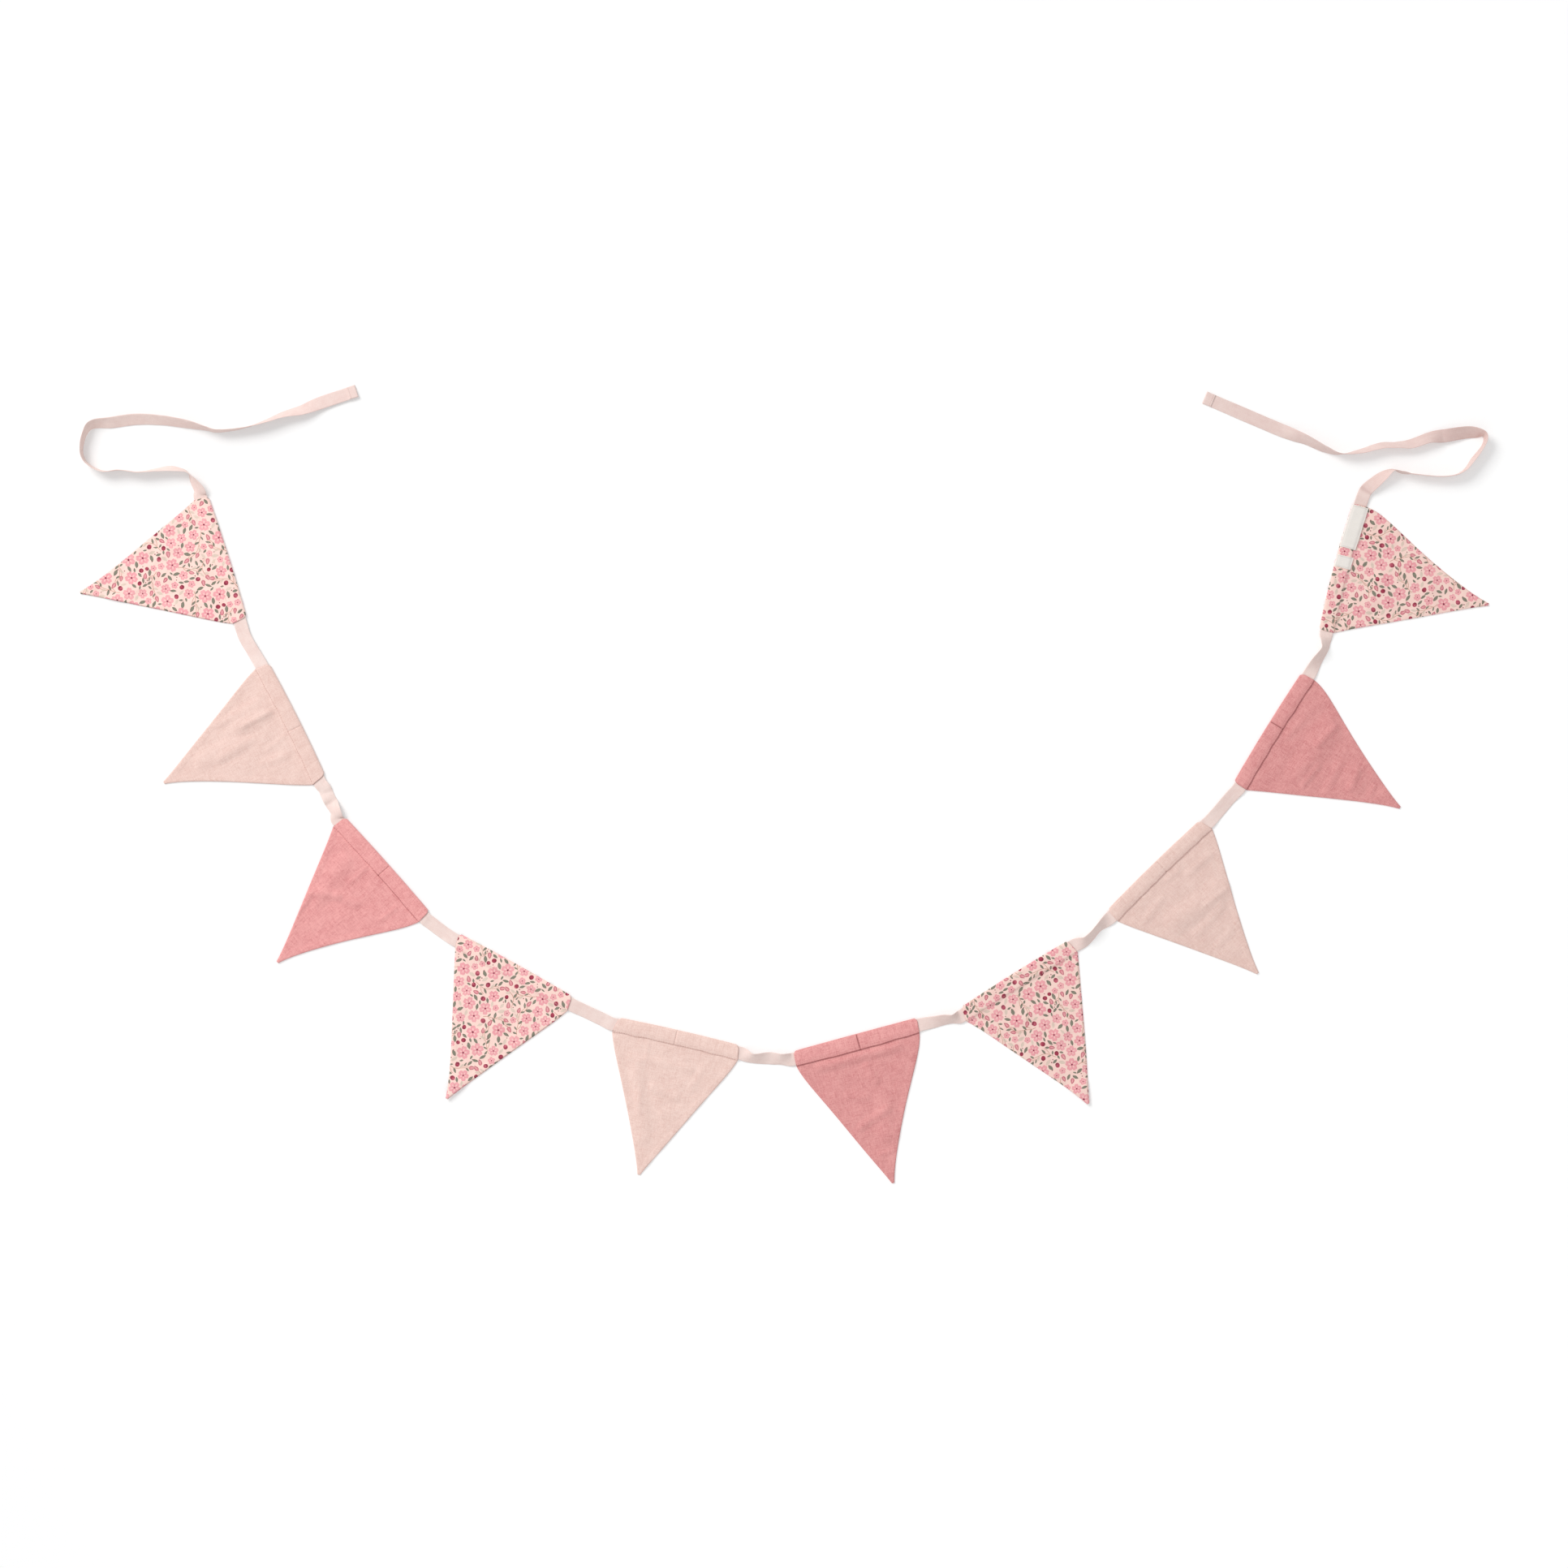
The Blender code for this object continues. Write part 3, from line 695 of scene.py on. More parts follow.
@dataclass(frozen=True)
class Sprig:
    """A stem of the print: its foot, heading, length, how it curls, its leaves and twigs.

    Places and lengths are in millimetres on the cloth, the heading is in degrees and the
    curl in degrees a millimetre.
    """

    x: float
    y: float
    heading: float
    length: float
    curl: float
    leaves: int
    twigs: int = 0

    def line(self, step: float = 0.8) -> Array:
        """Returns x, y, heading rows along the stem, which curls evenly and sways 12 degrees."""
        run = np.arange(0.0, self.length, step)
        heading = np.radians(self.heading + self.curl * run + 12.0 * np.sin(run / 4.0))
        x = self.x + np.cumsum(np.cos(heading)) * step
        y = self.y + np.cumsum(np.sin(heading)) * step
        return np.stack([x, y, heading], axis=1)

    def branches(self) -> list["Sprig"]:
        """Returns the short twigs that leave the stem to its left and right in turn."""
        line = self.line()
        made = []
        for number in range(self.twigs):
            x, y, heading = line[int((number + 0.5) / self.twigs * 0.8 * len(line))]
            side = -1.0 if number % 2 else 1.0
            lean = math.degrees(heading) + 42.0 * side
            made.append(Sprig(x, y, lean, 9.0 + 2.0 * (number % 3), -5.0 * side, 1))
        return made

    def foliage(self) -> list[tuple[float, ...]]:
        """Returns x, y, radius, turn, code of the leaves, set to the left and right in turn."""
        line = self.line()
        rows = []
        for number in range(self.leaves):
            x, y, heading = line[int((number + 0.75) / (self.leaves + 0.4) * len(line))]
            turn = heading + (0.8 if number % 2 else -0.8)
            size = 3.6 if number % 3 else 2.8
            kind = Leaf.PALE if number % 4 == 2 else Leaf.DARK
            x += size * math.cos(turn)
            y += size * math.sin(turn)
            rows.append((x, y, size, turn, kind.value + 0.12 * (number % 4)))
        return rows


SPRIGS = (
    Sprig(12.0, 10.0, 40.0, 36.0, 1.5, 5, 3),
    Sprig(64.0, 8.0, 95.0, 32.0, -2.0, 4, 3),
    Sprig(34.0, 50.0, 150.0, 34.0, 1.8, 5, 3),
    Sprig(92.0, 44.0, 60.0, 38.0, 1.4, 5, 3),
    Sprig(58.0, 86.0, 200.0, 32.0, -1.7, 4, 2),
    Sprig(86.0, 96.0, 320.0, 26.0, 2.2, 4, 2),
    Sprig(6.0, 72.0, 85.0, 22.0, -2.4, 3, 1),
)


@dataclass(frozen=True)
class Batch:
    """How many motifs of one kind the repeat holds, their radius and how it varies."""

    kind: Bloom | Leaf
    count: int
    radius: float
    spread: float


BATCHES = (
    Batch(Bloom.FLOWER, 9, 8.2, 0.5),
    Batch(Bloom.FLOWER, 10, 6.5, 0.7),
    Batch(Bloom.FLOWER, 9, 4.5, 0.4),
    Batch(Bloom.BUD, 7, 3.7, 0.4),
    Batch(Bloom.BERRY, 12, 3.1, 0.4),
    Batch(Leaf.DARK, 34, 4.1, 0.6),
    Batch(Leaf.PALE, 26, 4.3, 0.6),
    Batch(Leaf.DARK, 22, 2.7, 0.3),
    Batch(Bloom.DOT, 18, 0.85, 0.15),
)


@dataclass
class Print:
    """One repeat of the print, filled round its sprigs and joined to itself on all sides.

    Attributes:
        repeat: Side of the repeat in millimetres.
        gap: The least room between motifs of one layer in millimetres.
        near: The least room between motifs of different layers.
        tries: How many places are tried for each motif.
        seed: The number that fixes where the motifs fall.
        slim: A leaf's width over its length.
        bloom_share: The share of a bloom's radius that has to stay clear.
        leaf_share: The same for a leaf.
        drawn_share: The same between the sprigs' own leaves and buds.
        stem_half: Half of a stem's width in millimetres, for the room beside it.
        blooms: x, y, radius, turn, code of the upper layer.
        leaves: The same rows of the leaf layer.
        stems: x, y, heading rows along all stems.
    """

    repeat: float = 104.0
    gap: float = 1.5
    near: float = 0.3
    tries: int = 600
    seed: int = 11
    slim: float = 0.42
    bloom_share: float = 0.95
    leaf_share: float = 0.62
    drawn_share: float = 0.6
    stem_half: float = 0.4
    blooms: Array = field(init=False)
    leaves: Array = field(init=False)
    stems: Array = field(init=False)

    def __post_init__(self) -> None:
        """Lays the sprigs, then drops each batch's motifs where they fit closest."""
        rng = np.random.default_rng(self.seed)
        sprigs = [part for sprig in SPRIGS for part in (sprig, *sprig.branches())]
        lines = [sprig.line() for sprig in sprigs]
        self.stems = np.concatenate(lines)
        buds = self.clear([], [self.tip_bud(line) for line in lines[::2]])
        foliage = [row for sprig in sprigs for row in sprig.foliage()]
        placed = {Bloom: buds, Leaf: self.clear(buds, foliage)}
        for batch in BATCHES:
            layer = type(batch.kind)
            for _ in range(batch.count):
                radius = batch.radius + batch.spread * (2.0 * rng.random() - 1.0)
                turn, tone = rng.random(2) * (2 * np.pi, 0.9)
                reach = radius * (self.leaf_share if layer is Leaf else self.bloom_share)
                spot = self.best_spot(rng, placed, layer, reach)
                if spot is not None:
                    code = batch.kind.value + tone
                    placed[layer].append((*spot, radius, turn, code))
        self.blooms = np.array(placed[Bloom])
        self.leaves = np.array(placed[Leaf])

    @staticmethod
    def tip_bud(line: Array) -> tuple[float, ...]:
        """Returns the row of the bud at a stem's tip."""
        x, y, heading = line[-1]
        size = 2.6 + 0.06 * min(len(line), 20)
        x += size * math.cos(heading)
        y += size * math.sin(heading)
        return (x, y, size, heading, Bloom.BUD.value + 0.4)

    def wrapped(self, offset: Array) -> Array:
        """Returns an offset brought to the nearest copy of the repeat."""
        return (offset + self.repeat / 2) % self.repeat - self.repeat / 2

    def room(self, spots: Array, motifs: Array, share: float) -> Array:
        """Returns each spot's least distance to circles of a share of the motifs' radii."""
        apart = self.wrapped(spots[:, None] - motifs[None, :, :2])
        return (np.linalg.norm(apart, axis=2) - share * motifs[None, :, 2]).min(axis=1)

    def clear(self, others: list, rows: list) -> list:
        """Returns the rows whose motifs stay clear of the others and of each other."""
        kept = []
        for row in rows:
            near = np.array(others + kept)
            share = self.drawn_share
            if not len(near) or self.room(np.array([row[:2]]), near, share)[0] > share * row[2]:
                kept.append(row)
        return kept

    def best_spot(
        self, rng: np.random.Generator, placed: dict, layer: type[Bloom] | type[Leaf], reach: float
    ) -> Array | None:
        """Returns the place where a motif fits with the least room left over, or None.

        Args:
            rng: The random numbers.
            placed: The rows placed so far, by layer.
            layer: The new motif's layer.
            reach: The radius that it needs.
        """
        spots = rng.random((self.tries, 2)) * self.repeat
        stems = np.column_stack([self.stems[:, :2], np.full(len(self.stems), self.stem_half)])
        rooms = [self.room(spots, stems, 1.0) - self.near]
        for kind, share in ((Bloom, self.bloom_share), (Leaf, self.leaf_share)):
            gap = self.gap if kind is layer else self.near
            rooms.append(self.room(spots, np.array(placed[kind]), share) - gap)
        free = np.min(rooms, axis=0) - reach
        fits = np.where(free >= 0.0)[0]
        return spots[fits[np.argmin(free[fits])]] if len(fits) else None

    def local(self, motif: Array, places: Array) -> tuple[Array, Array]:
        """Returns places in a motif's own coordinates: turned back and over its radius.

        Args:
            motif: x, y, radius, turn, code, or a row of these for every place.
            places: Places on the cloth, with a last axis of 2.

        Returns:
            The coordinates along and across the motif.
        """
        x, y, radius, turn = (motif[..., k] for k in range(4))
        dx = places[..., 0] - x
        dy = places[..., 1] - y
        along = (dx * np.cos(turn) + dy * np.sin(turn)) / radius
        across = (dy * np.cos(turn) - dx * np.sin(turn)) / radius
        return along, across

    def nearest(self, motifs: Array, places: Array, slim: float) -> Array:
        """Returns each face corner's place in its nearest motif's own coordinates.

        A face takes the motif whose edge is nearest to its middle, where a motif is an
        ellipse, and all its corners use that motif.

        Args:
            motifs: x, y, radius, turn, code rows.
            places: Faces by 4 by 2, in millimetres on the printed cloth.
            slim: The ellipses' width over their length.

        Returns:
            Faces by 4 by 3: the two coordinates and the motif's code.
        """
        middle = places.mean(axis=1)
        edge = np.full(len(middle), np.inf)
        best = np.zeros(len(middle), int)
        for number, motif in enumerate(motifs):
            home = motif[:2] + self.wrapped(middle - motif[:2])
            along, across = self.local(motif, home)
            away = (np.hypot(along, across / slim) - 1.0) * motif[2] * slim
            closer = away < edge
            edge[closer] = away[closer]
            best[closer] = number
        chosen = np.repeat(motifs[best][:, None], 4, axis=1)
        chosen[..., :2] = (middle - self.wrapped(middle - motifs[best][:, :2]))[:, None]
        along, across = self.local(chosen, places)
        return np.stack([along, across, chosen[..., 4]], axis=2)

    def stamp(self, mesh: bpy.types.Mesh, places: Array) -> None:
        """Puts the three layers' coordinates on a mesh's face corners.

        A stem is a row of round motifs of 1 mm along its line, turned with it.

        Args:
            mesh: The mesh.
            places: Faces by 4 by 2, in millimetres on the printed cloth.
        """
        ones = np.ones(len(self.stems))
        stems = np.column_stack([self.stems[:, :2], ones, self.stems[:, 2], ones + 0.2])
        layers = {"bloom": (self.blooms, 1.0), "leaf": (self.leaves, self.slim), "stem": (stems, 1.0)}
        for name, (motifs, slim) in layers.items():
            values = self.nearest(motifs, places, slim).astype(np.float32)
            layer = mesh.attributes.new(name, "FLOAT_VECTOR", "CORNER")
            layer.data.foreach_set("vector", values.ravel())


# Pennants


@dataclass(frozen=True)
class Side:
    """One side of a pennant, in millimetres.

    Attributes:
        flare: How far the casing's sewn corner stands out.
        shoulder: How far the side swells just below the casing.
        belly: How far it swells lower down.
        sliver: How much of the back layer shows beyond it.
        outline: How dark the painted shade along it is, from 0 to 1.
    """

    flare: float
    shoulder: float
    belly: float
    sliver: float = 0.0
    outline: float = 0.0


@dataclass(frozen=True)
class Crease:
    """A soft ridge or trough between two places of a pennant: across, out, and again."""

    across_a: float
    out_a: float
    across_b: float
    out_b: float
    reach: float
    height: float

    def lift(self, across: Array, out: Array) -> Array:
        """Returns height (1 - d^2)^2, with d the distance to the line over the reach."""
        run = np.array([self.across_b - self.across_a, self.out_b - self.out_a])
        dx = across - self.across_a
        dy = out - self.out_a
        share = np.clip((dx * run[0] + dy * run[1]) / (run @ run), 0.0, 1.0)
        away = np.hypot(dx - share * run[0], dy - share * run[1]) / self.reach
        return self.height * np.clip(1.0 - away ** 2, 0.0, None) ** 2


@dataclass(frozen=True)
class FootShade:
    """Painted shadow along the flap's foot and painted shade in its stitches' groove: its strength, and
    from and to as shares.
    """

    strength: float
    start: float = 0.0
    end: float = 1.0


# Distances in from a pennant's side, and out from its top fold over the casing
BAND = np.array([0.0, 0.1, 0.35, 0.75, 1.2, 1.9, 2.8])
CASING_OUTS = np.array(
    [0.0, 0.12, 0.45, 1.0, 1.8, 3.0, 5.0, 7.0, 9.0, 11.0, 13.0, 15.0, 16.5, 17.3, 17.8,
     18.1, 18.3, 18.5, 18.75, 18.92, 19.05]
)


# How far apart the faces' places lie on the flat cloth, so that no two faces share one
BACK_APART = 300.0


@dataclass
class Pennant:
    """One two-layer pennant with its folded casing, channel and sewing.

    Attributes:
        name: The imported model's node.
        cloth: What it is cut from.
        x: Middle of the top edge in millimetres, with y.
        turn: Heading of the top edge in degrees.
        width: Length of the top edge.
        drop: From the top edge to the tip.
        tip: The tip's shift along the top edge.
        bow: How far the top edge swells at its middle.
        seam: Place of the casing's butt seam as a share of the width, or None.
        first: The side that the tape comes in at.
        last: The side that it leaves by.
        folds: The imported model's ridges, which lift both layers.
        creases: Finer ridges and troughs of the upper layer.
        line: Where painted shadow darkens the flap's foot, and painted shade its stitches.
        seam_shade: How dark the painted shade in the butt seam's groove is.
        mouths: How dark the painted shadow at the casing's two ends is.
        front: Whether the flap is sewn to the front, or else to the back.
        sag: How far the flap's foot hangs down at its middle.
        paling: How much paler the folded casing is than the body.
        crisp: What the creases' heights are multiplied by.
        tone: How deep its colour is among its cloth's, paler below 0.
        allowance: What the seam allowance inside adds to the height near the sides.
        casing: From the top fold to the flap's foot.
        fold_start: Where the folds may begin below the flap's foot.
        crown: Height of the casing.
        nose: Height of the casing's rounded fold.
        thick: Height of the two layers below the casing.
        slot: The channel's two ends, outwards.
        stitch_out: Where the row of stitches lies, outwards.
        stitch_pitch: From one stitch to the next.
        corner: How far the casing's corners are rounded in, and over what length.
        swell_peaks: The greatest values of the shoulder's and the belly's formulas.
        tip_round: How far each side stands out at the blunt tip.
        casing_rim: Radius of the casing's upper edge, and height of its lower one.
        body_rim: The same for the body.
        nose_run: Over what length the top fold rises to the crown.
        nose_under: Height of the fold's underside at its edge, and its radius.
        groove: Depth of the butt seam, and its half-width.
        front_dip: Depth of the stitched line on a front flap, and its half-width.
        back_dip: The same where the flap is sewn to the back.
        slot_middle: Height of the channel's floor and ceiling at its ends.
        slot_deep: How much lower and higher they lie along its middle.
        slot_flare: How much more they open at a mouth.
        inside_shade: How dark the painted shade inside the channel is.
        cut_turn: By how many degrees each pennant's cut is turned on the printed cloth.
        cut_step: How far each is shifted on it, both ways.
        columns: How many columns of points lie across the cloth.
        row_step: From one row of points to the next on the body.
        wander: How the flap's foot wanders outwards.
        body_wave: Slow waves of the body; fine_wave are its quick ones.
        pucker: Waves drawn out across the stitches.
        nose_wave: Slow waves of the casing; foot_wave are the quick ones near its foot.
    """

    name: str
    cloth: Cloth
    x: float
    y: float
    turn: float
    width: float
    drop: float
    tip: float
    bow: float
    seam: float | None
    first: Side
    last: Side
    folds: tuple[Crease, ...] = ()
    creases: tuple[Crease, ...] = ()
    line: FootShade = FootShade(0.3)
    seam_shade: float = 0.6
    mouths: tuple[float, float] = (0.2, 0.6)
    front: bool = True
    sag: float = 0.0
    paling: float = 0.12
    crisp: float = 1.4
    tone: float = 0.0
    allowance: float = 0.22
    casing: float = 19.0
    fold_start: float = 20.4
    crown: float = 3.8
    nose: float = 1.9
    thick: float = 1.7
    slot: tuple[float, float] = (1.2, 17.8)
    stitch_out: float = 18.4
    stitch_pitch: float = 3.1
    stitch_radius: float = 0.22
    corner: tuple[float, float] = (3.0, 5.0)
    swell_peaks: tuple[float, float] = (0.0567, 0.148)
    tip_round: float = 1.6
    casing_rim: tuple[float, float] = (1.4, 0.45)
    body_rim: tuple[float, float] = (2.1, 0.75)
    nose_run: float = 4.2
    nose_under: tuple[float, float] = (1.7, 2.2)
    groove: tuple[float, float] = (0.75, 0.55)
    front_dip: tuple[float, float] = (0.45, 0.36)
    back_dip: tuple[float, float] = (0.25, 0.6)
    slot_middle: tuple[float, float] = (1.65, 1.85)
    slot_deep: tuple[float, float] = (0.6, 0.75)
    slot_flare: tuple[float, float] = (0.45, 0.5)
    inside_shade: float = 0.35
    cut_turn: float = 47.0
    cut_step: tuple[float, float] = (31.0, 57.0)
    columns: int = 84
    row_step: float = 1.85
    wander: Waviness = Waviness(0.3, 24.0, 200, 8)
    body_wave: Waviness = Waviness(0.28, 30.0)
    fine_wave: Waviness = Waviness(0.1, 10.0, 40, 20)
    pucker: Waviness = Waviness(0.16, 7.0, 80)
    nose_wave: Waviness = Waviness(0.1, 13.0, 120)
    foot_wave: Waviness = Waviness(0.07, 5.0, 160)

    @property
    def seed(self) -> int:
        """Returns the number in the node's name."""
        return int(self.name[-2:])

    def side_reach(self, out: Array, side: Side, tip: float) -> Array:
        """Returns how far one side stands from the middle line at distances out.

        Beside the casing it is half the width plus the flare's share, less a rounded corner;
        below, a straight line to the tip plus s(1-s)^6 for the shoulder, s^2(1-s) for the
        belly and s^14 for the blunt tip.
        """
        half = self.width / 2
        corner = self.corner[0] * np.clip(1.0 - out / self.corner[1], 0.0, None) ** 2
        upper = half + side.flare * out / self.casing - corner
        share = np.clip((out - self.casing) / (self.drop - self.casing), 0.0, 1.0)
        lower = (1.0 - share) * (half + side.flare) + share * tip
        lower += side.shoulder * share * (1.0 - share) ** 6 / self.swell_peaks[0]
        belly = side.belly * share ** 2 * (1.0 - share) / self.swell_peaks[1]
        lower += belly + self.tip_round * share ** 14
        return np.where(out <= self.casing, upper, lower)

    def sides(self, out: Array) -> tuple[Array, Array]:
        """Returns where the two sides lie across at distances out."""
        low = -self.side_reach(out, self.first, -self.tip)
        high = self.side_reach(out, self.last, self.tip)
        return low, high

    def place(self, across: Array, out: Array, up: Array) -> Array:
        """Returns points in metres: the pennant's own place turned by its heading.

        The top edge bows out by b (1 - u^2), with u from -1 to 1 along it, and the bow fades
        over 60 mm below the casing. Round the flap's foot the cloth hangs down by the sag in
        the same form, and wanders a little.

        Args:
            across: Along the top edge from its middle, in millimetres.
            out: From the top edge towards the tip.
            up: Over the surface.

        Returns:
            The points, with a last axis of 3.
        """
        turn = math.radians(self.turn)
        arch = 1.0 - (2.0 * across / self.width) ** 2
        fade = np.clip(1.0 - (out - self.fold_start) / 60.0, 0.0, 1.0)
        hang = smooth_step(6.0, 17.0, out) - smooth_step(20.0, 36.0, out)
        wander = self.wander.lift(across, 0.0 * out, self.seed)
        reach = out + hang * (arch * self.sag + wander) - arch * self.bow * fade
        x = self.x + across * math.cos(turn) + reach * math.sin(turn)
        y = self.y + across * math.sin(turn) - reach * math.cos(turn)
        return np.stack(np.broadcast_arrays(x, y, up), axis=-1) * MM

    def lift(self, across: Array, out: Array) -> Array:
        """Returns how far the cloth is raised off the surface: the highest of the folds."""
        lift = np.zeros(np.broadcast(across, out).shape)
        for fold in self.folds:
            lift = np.maximum(lift, fold.lift(across, out))
        return lift * smooth_step(self.fold_start, self.fold_start + 4.0, out)

    def uneven(self, across: Array, out: Array) -> Array:
        """Returns the upper layer's own unevenness.

        It is the sum of the creases and of coarse and fine waves, from just below the flap's
        foot on, and a pucker across the stitches that fades within 3 mm of 21.5 mm out.
        """
        body = np.zeros(np.broadcast(across, out).shape)
        for crease in self.creases:
            body += self.crisp * crease.lift(across, out)
        body += self.body_wave.lift(across, out, self.seed)
        body += self.fine_wave.lift(across, out, self.seed)
        body *= smooth_step(self.casing + 0.5, self.casing + 7.0, out)
        pucker = self.pucker.lift(across, out * 0.25, self.seed)
        body += pucker * bell(out - 21.5, 3.0) * smooth_step(19.1, 20.5, out)
        return body

    def casing_top(self, across: Array, out: Array) -> Array:
        """Returns the flap's height over the surface.

        It is a quarter circle from the nose to the crown, less a slope down to the stitches, a
        dip at them and the step at the flap's foot, plus ripples. Where the flap is sewn to the
        back, the front runs on smoothly to the body. A butt seam is a groove.
        """
        nose = self.nose + (self.crown - self.nose) * rounded(out, self.nose_run)
        depth, half = self.front_dip if self.front else self.back_dip
        dip = depth * bell(out - self.stitch_out, half)
        if self.front:
            slope = 1.15 * smooth_step(13.0, 18.3, out)
            foot = smooth_step(18.88, CASING_OUTS[-1], out)
        else:
            slope = (self.crown - self.thick) * self.run_out(out)
            foot = 0.0
        ripple = self.nose_wave.lift(across, out * 0.4, self.seed) * smooth_step(1.0, 5.0, out)
        ripple += self.foot_wave.lift(across, out * 0.2, self.seed) * smooth_step(14.0, 18.0, out)
        height = nose - slope - dip - foot + ripple * (1.0 - smooth_step(18.6, self.casing, out))
        if self.seam is not None:
            depth, half = self.groove
            groove = depth * bell(across - self.seam * self.width, half)
            height -= groove * smooth_step(0.5, 2.0, out)
        return height

    @staticmethod
    def run_out(out: Array) -> Array:
        """Returns how far a casing without a foot has run down to the body, from 0 to 1."""
        return smooth_step(16.0, 21.5, out)

    def top(self, across: Array, out: Array) -> Array:
        """Returns the height of the upper face away from the edges."""
        body = self.thick + self.lift(across, out) + self.uneven(across, out)
        if not self.front:
            body += (self.crown - self.thick) * (1.0 - self.run_out(out))
        return np.where(out > self.casing, body, self.casing_top(across, out))

    def grids(self) -> tuple[Array, Array]:
        """Returns the across and out grids of the outer faces, dense at edges and the seam."""
        end = self.drop - np.array([2.4, 1.3, 0.6, 0.2, 0.0])
        body = np.arange(21.6, self.drop - 3.2, self.row_step)
        outs = np.concatenate([CASING_OUTS, [19.3, 19.8, 20.5], body, end])
        low, high = self.sides(outs)
        span = high - low
        scale = np.minimum(1.0, 0.28 * span / BAND[-1])
        inner = np.linspace(0.0, 1.0, self.columns)[1:-1]
        if self.seam is not None:
            middle = 0.5 + self.seam
            near = middle + np.array([-1.5, -0.8, -0.4, 0.0, 0.4, 0.8, 1.5]) / self.width
            keep = np.abs(inner - middle) * self.width > 2.0
            inner = np.sort(np.concatenate([inner[keep], near]))
        left = low[:, None] + BAND * scale[:, None]
        right = high[:, None] - BAND[::-1] * scale[:, None]
        between = left[:, -1:] + inner * (right[:, :1] - left[:, -1:])
        across = np.concatenate([left, between, right], axis=1)
        return across, np.broadcast_to(outs[:, None], across.shape)

    def shade(self, across: Array, out: Array) -> Array:
        """Returns the painted shade, up to 1, with the pennant's tone added, and below 0 how much
        paler the casing is.

        Each line of painted shade is a bell round its own place: painted shadow at the flap's
        foot and painted shade at the stitches within the line's stretch, in the butt seam, at
        the casing's two mouths and along the sewn sides.
        """
        share = across / self.width + 0.5
        window = smooth_step(self.line.start - 0.02, self.line.start + 0.02, share)
        window = window * (1.0 - smooth_step(self.line.end - 0.02, self.line.end + 0.02, share))
        # Painted shadow under the flap's foot, and painted shade in the stitches' groove.
        foot = 0.7 * self.line.strength * window * bell(out - CASING_OUTS[-1], 0.35)
        stitch_shade = 1.1 * self.line.strength * bell(out - self.stitch_out, 0.4)
        stitch_shade = stitch_shade * (0.45 + 0.55 * window)
        dark = foot * self.front + stitch_shade
        # Painted shade in the butt seam's groove.
        if self.seam is not None:
            groove = bell(across - self.seam * self.width, 0.75)
            dark += self.seam_shade * groove * (out < 19.2) * smooth_step(0.3, 1.5, out)
        from_low, from_high = across - across[:, :1], across[:, -1:] - across
        # Painted shadow at the casing's two mouths.
        ends = self.mouths[0] * bell(from_low, 0.45)
        ends += self.mouths[1] * bell(from_high, 0.45)
        # Painted shade along the sewn sides' rounded edges.
        edges = self.first.outline * bell(from_low, 0.9)
        edges += self.last.outline * bell(from_high, 0.9)
        dark += edges * smooth_step(self.casing, self.casing + 3.0, out)
        # A front flap's casing is made paler, except where painted shade lies.
        if self.front:
            over_casing = smooth_step(0.5, 3.0, out) * (1.0 - smooth_step(17.0, 18.2, out))
            dark -= self.paling * over_casing * np.clip(1.0 - 4.0 * dark, 0.0, 1.0)
        return self.tone + dark + ends * (out < self.casing) * smooth_step(0.5, 2.5, out)

    def faces(self, across: Array, out: Array) -> tuple[Array, Array]:
        """Returns the heights of the upper and lower outer faces.

        Each leaves the height of the cloth's edge in a quarter circle. The seam allowance
        thickens the body near its sides, and where the back layer shows beyond a side the
        upper face drops to one layer.

        Args:
            across: The grid across.
            out: The grid outwards.

        Returns:
            The two heights in millimetres.
        """
        from_low, from_high = across - across[:, :1], across[:, -1:] - across
        from_side = np.minimum(from_low, from_high) * 0.9
        edge = np.minimum(from_side, (self.drop - out) * 1.2)
        casing = out <= self.casing
        layer = self.thick / 2
        (casing_round, casing_low), (body_round, body_low) = self.casing_rim, self.body_rim
        round_edge = np.where(casing, rounded(edge, casing_round), rounded(edge, body_round))
        lift = self.lift(across, out)
        inside = (1.0 - smooth_step(6.4, 8.0, edge)) * smooth_step(21.0, 26.0, out)
        crown = self.top(across, out) + self.allowance * inside
        heart = np.where(casing, np.minimum(crown - 0.3, 3.25), layer + lift)
        upper = heart + (crown - heart) * round_edge
        nose = self.nose_under[0] * (1.0 - rounded(out, self.nose_under[1]))
        lower = np.where(casing, casing_low, body_low) * (1.0 - rounded(edge, 0.9))
        lower = lower + np.maximum(nose, lift) + 0.38 * bell(out - self.stitch_out, 0.5)
        for side, away in ((self.first, from_low), (self.last, from_high)):
            if side.sliver:
                step = (away < side.sliver) & (out > self.casing + 5.0)
                back = lower + layer * rounded(away, 0.5)
                upper = np.where(step, np.minimum(upper, back), upper)
        return upper, lower

